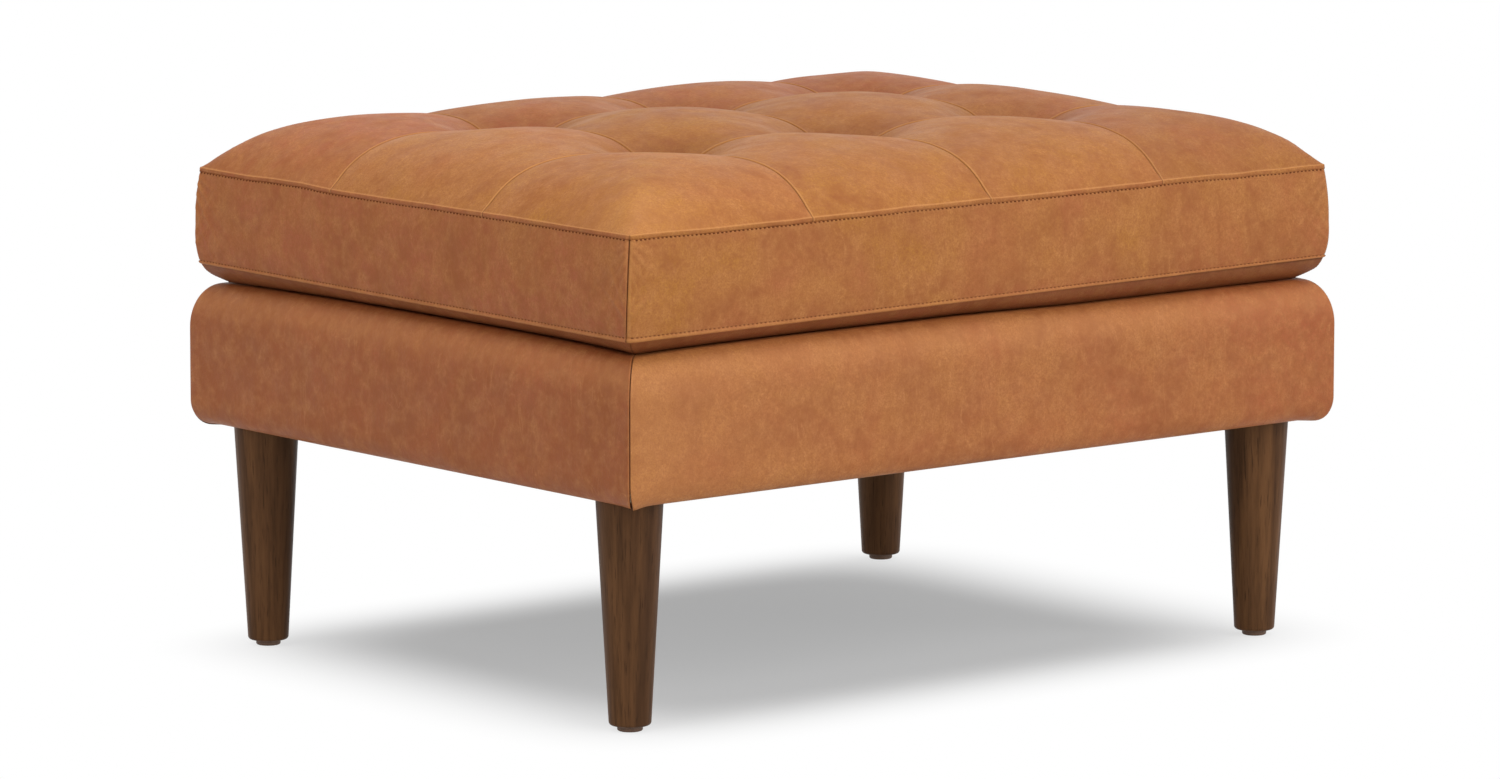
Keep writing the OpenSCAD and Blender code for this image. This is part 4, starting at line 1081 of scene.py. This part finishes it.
top = dress(make_top(), "cushion_leather", "cushion", "cushion_top")
for side in SIDES:
    border = dress(make_border(side), "cushion_leather", "cushion", f"cushion_border_{side}")
    cover = dress(make_cover(side), "base_leather", "base", f"{side}_cover")
dress(make_underside(), "cushion_leather", "cushion", "cushion_underside")
upper_row = border_row(UPPER_ROW_Z, border_at(UPPER_ROW_Z) + 0.1)
lower_row = border_row(LOWER_STITCH_Z, border_at(LOWER_STITCH_Z) + 0.25)
dress(stitches("cushion_upper_stitches", *upper_row, *UPPER_STITCH), "thread", "cushion")
dress(stitches("cushion_lower_stitches", *lower_row, *LOWER_STITCH), "thread", "cushion", material=LOWER_THREAD)
dress(stitches("zip_stitches", *zip_rows(), *ZIP_STITCH), "thread", "cushion")

deck = dress(make_deck(), "deck_fabric", "base", "deck_panel")
dust = dress(make_dust_cover(), "dust_cloth", "base", "dust_cover")
dress(staples(), "zinc_steel", "base")
upper_tape = dress(make_tape("zip_tape_upper", 1), "zip_tape", "cushion", "zip_tapes")
lower_tape = dress(make_tape("zip_tape_lower", -1), "zip_tape", "cushion", "zip_tapes")


# Stage, light and camera


def seen_by_eye(tree):
    """1 for rays from the eye, a mirror or glass, and 0 for light on the object."""
    path = tree.nodes.new("ShaderNodeLightPath")
    total = path.outputs["Is Camera Ray"]
    for key in ("Is Glossy Ray", "Is Transmission Ray"):
        total = node_math(tree, "MAXIMUM", total, path.outputs[key])
    return total


FLOOR_SIZE, FLOOR_LIFT, FLOOR_COLOUR, WORLD_LIGHT = 80, 0.35, 0.62, 0.2
# Where the shadow under the base starts and ends fading, in halves of the base, and how square it is
SHADOW_RUN, SHADOW_POWER = (0.63, 1.22), 6.0


def floor_lift(tree):
    """How white the floor is made: least under the base, where the shadow lies, and fully away from it."""
    where = tree.nodes.new("ShaderNodeSeparateXYZ")
    tree.links.new(tree.nodes.new("ShaderNodeTexCoord").outputs["Object"], where.inputs[0])
    total = 0.0
    for axis, half in (("X", BASE_W / 2 * MM), ("Y", BASE_D / 2 * MM)):
        share = node_math(tree, "ABSOLUTE", node_math(tree, "DIVIDE", where.outputs[axis], half))
        total = node_math(tree, "ADD", node_math(tree, "POWER", share, SHADOW_POWER), total)
    away = node_math(tree, "POWER", total, 1 / SHADOW_POWER)
    ramp = node_span(tree, away, *SHADOW_RUN, FLOOR_LIFT, 1.0)
    ramp.interpolation_type = "SMOOTHSTEP"
    return ramp.outputs["Result"]


def mixed(tree, share, first, second):
    """Two shaders mixed by a share."""
    both = tree.nodes.new("ShaderNodeMixShader")
    for socket, value in zip(both.inputs, (share, first.outputs[0], second.outputs[0])):
        tree.links.new(value, socket)
    return both


def make_floor():
    """A floor that can be looked through from below."""
    bpy.ops.mesh.primitive_plane_add(size=FLOOR_SIZE)
    floor = bpy.context.object
    floor.name = "floor"
    material = bpy.data.materials.new("pale_floor")
    material.use_nodes = True
    tree = material.node_tree
    tree.nodes.remove(tree.nodes["Principled BSDF"])
    matt = tree.nodes.new("ShaderNodeBsdfDiffuse")
    matt.inputs["Color"].default_value = (FLOOR_COLOUR, FLOOR_COLOUR, FLOOR_COLOUR, 1)
    white = tree.nodes.new("ShaderNodeEmission")
    both = mixed(tree, node_math(tree, "MULTIPLY", seen_by_eye(tree), floor_lift(tree)), matt, white)
    clear = tree.nodes.new("ShaderNodeBsdfTransparent")
    below = mixed(tree, tree.nodes.new("ShaderNodeNewGeometry").outputs["Backfacing"], both, clear)
    tree.links.new(below.outputs[0], tree.nodes["Material Output"].inputs["Surface"])
    floor.data.materials.append(material)


def make_world():
    world = bpy.data.worlds.new("studio")
    bpy.context.scene.world = world
    world.use_nodes = True
    tree = world.node_tree
    light = tree.nodes["Background"]
    light.inputs["Color"].default_value = (1, 1, 1, 1)
    light.inputs["Strength"].default_value = WORLD_LIGHT
    white = tree.nodes.new("ShaderNodeBackground")
    white.inputs["Color"].default_value = (1, 1, 1, 1)
    both = mixed(tree, seen_by_eye(tree), light, white)
    tree.links.new(both.outputs[0], tree.nodes["World Output"].inputs["Surface"])


def sun(name, direction, strength, angle_deg):
    lamp = bpy.data.lights.new(name, "SUN")
    lamp.energy = strength * math.pi
    lamp.angle = math.radians(angle_deg)
    obj = linked(name, lamp)
    obj.rotation_mode = "QUATERNION"
    obj.rotation_quaternion = Vector(direction).to_track_quat("Z", "Y")


# The photograph's view: turn and dip in degrees, focal length and sensor in millimetres, place in metres
CAMERA_YAW, CAMERA_PITCH, CAMERA_LENS, CAMERA_SENSOR = 39.2465, 8.511, 185.797, 36.0
CAMERA_PLACE = (-4.360922, -5.319601, 1.257018)


def make_camera():
    yaw, pitch = math.radians(CAMERA_YAW), math.radians(CAMERA_PITCH)
    ahead = Vector((math.sin(yaw) * math.cos(pitch), math.cos(yaw) * math.cos(pitch), -math.sin(pitch)))
    camera = bpy.data.cameras.new("camera")
    camera.lens, camera.sensor_width = CAMERA_LENS, CAMERA_SENSOR
    camera.clip_end = 200
    obj = linked("camera", camera)
    obj.rotation_mode = "QUATERNION"
    obj.rotation_quaternion = ahead.to_track_quat("-Z", "Y")
    obj.location = CAMERA_PLACE
    bpy.context.scene.camera = obj


make_floor()
make_world()
sun("overhead_left", (-0.26, -0.02, 1.0), 0.31, 36)
sun("overhead_right", (0.26, -0.02, 1.0), 0.28, 36)
sun("front", (0.25, -1.0, 0.42), 0.52, 60)
sun("left", (-1.0, -0.2, 0.42), 0.215, 60)
make_camera()
bpy.context.scene.view_settings.view_transform = "Standard"
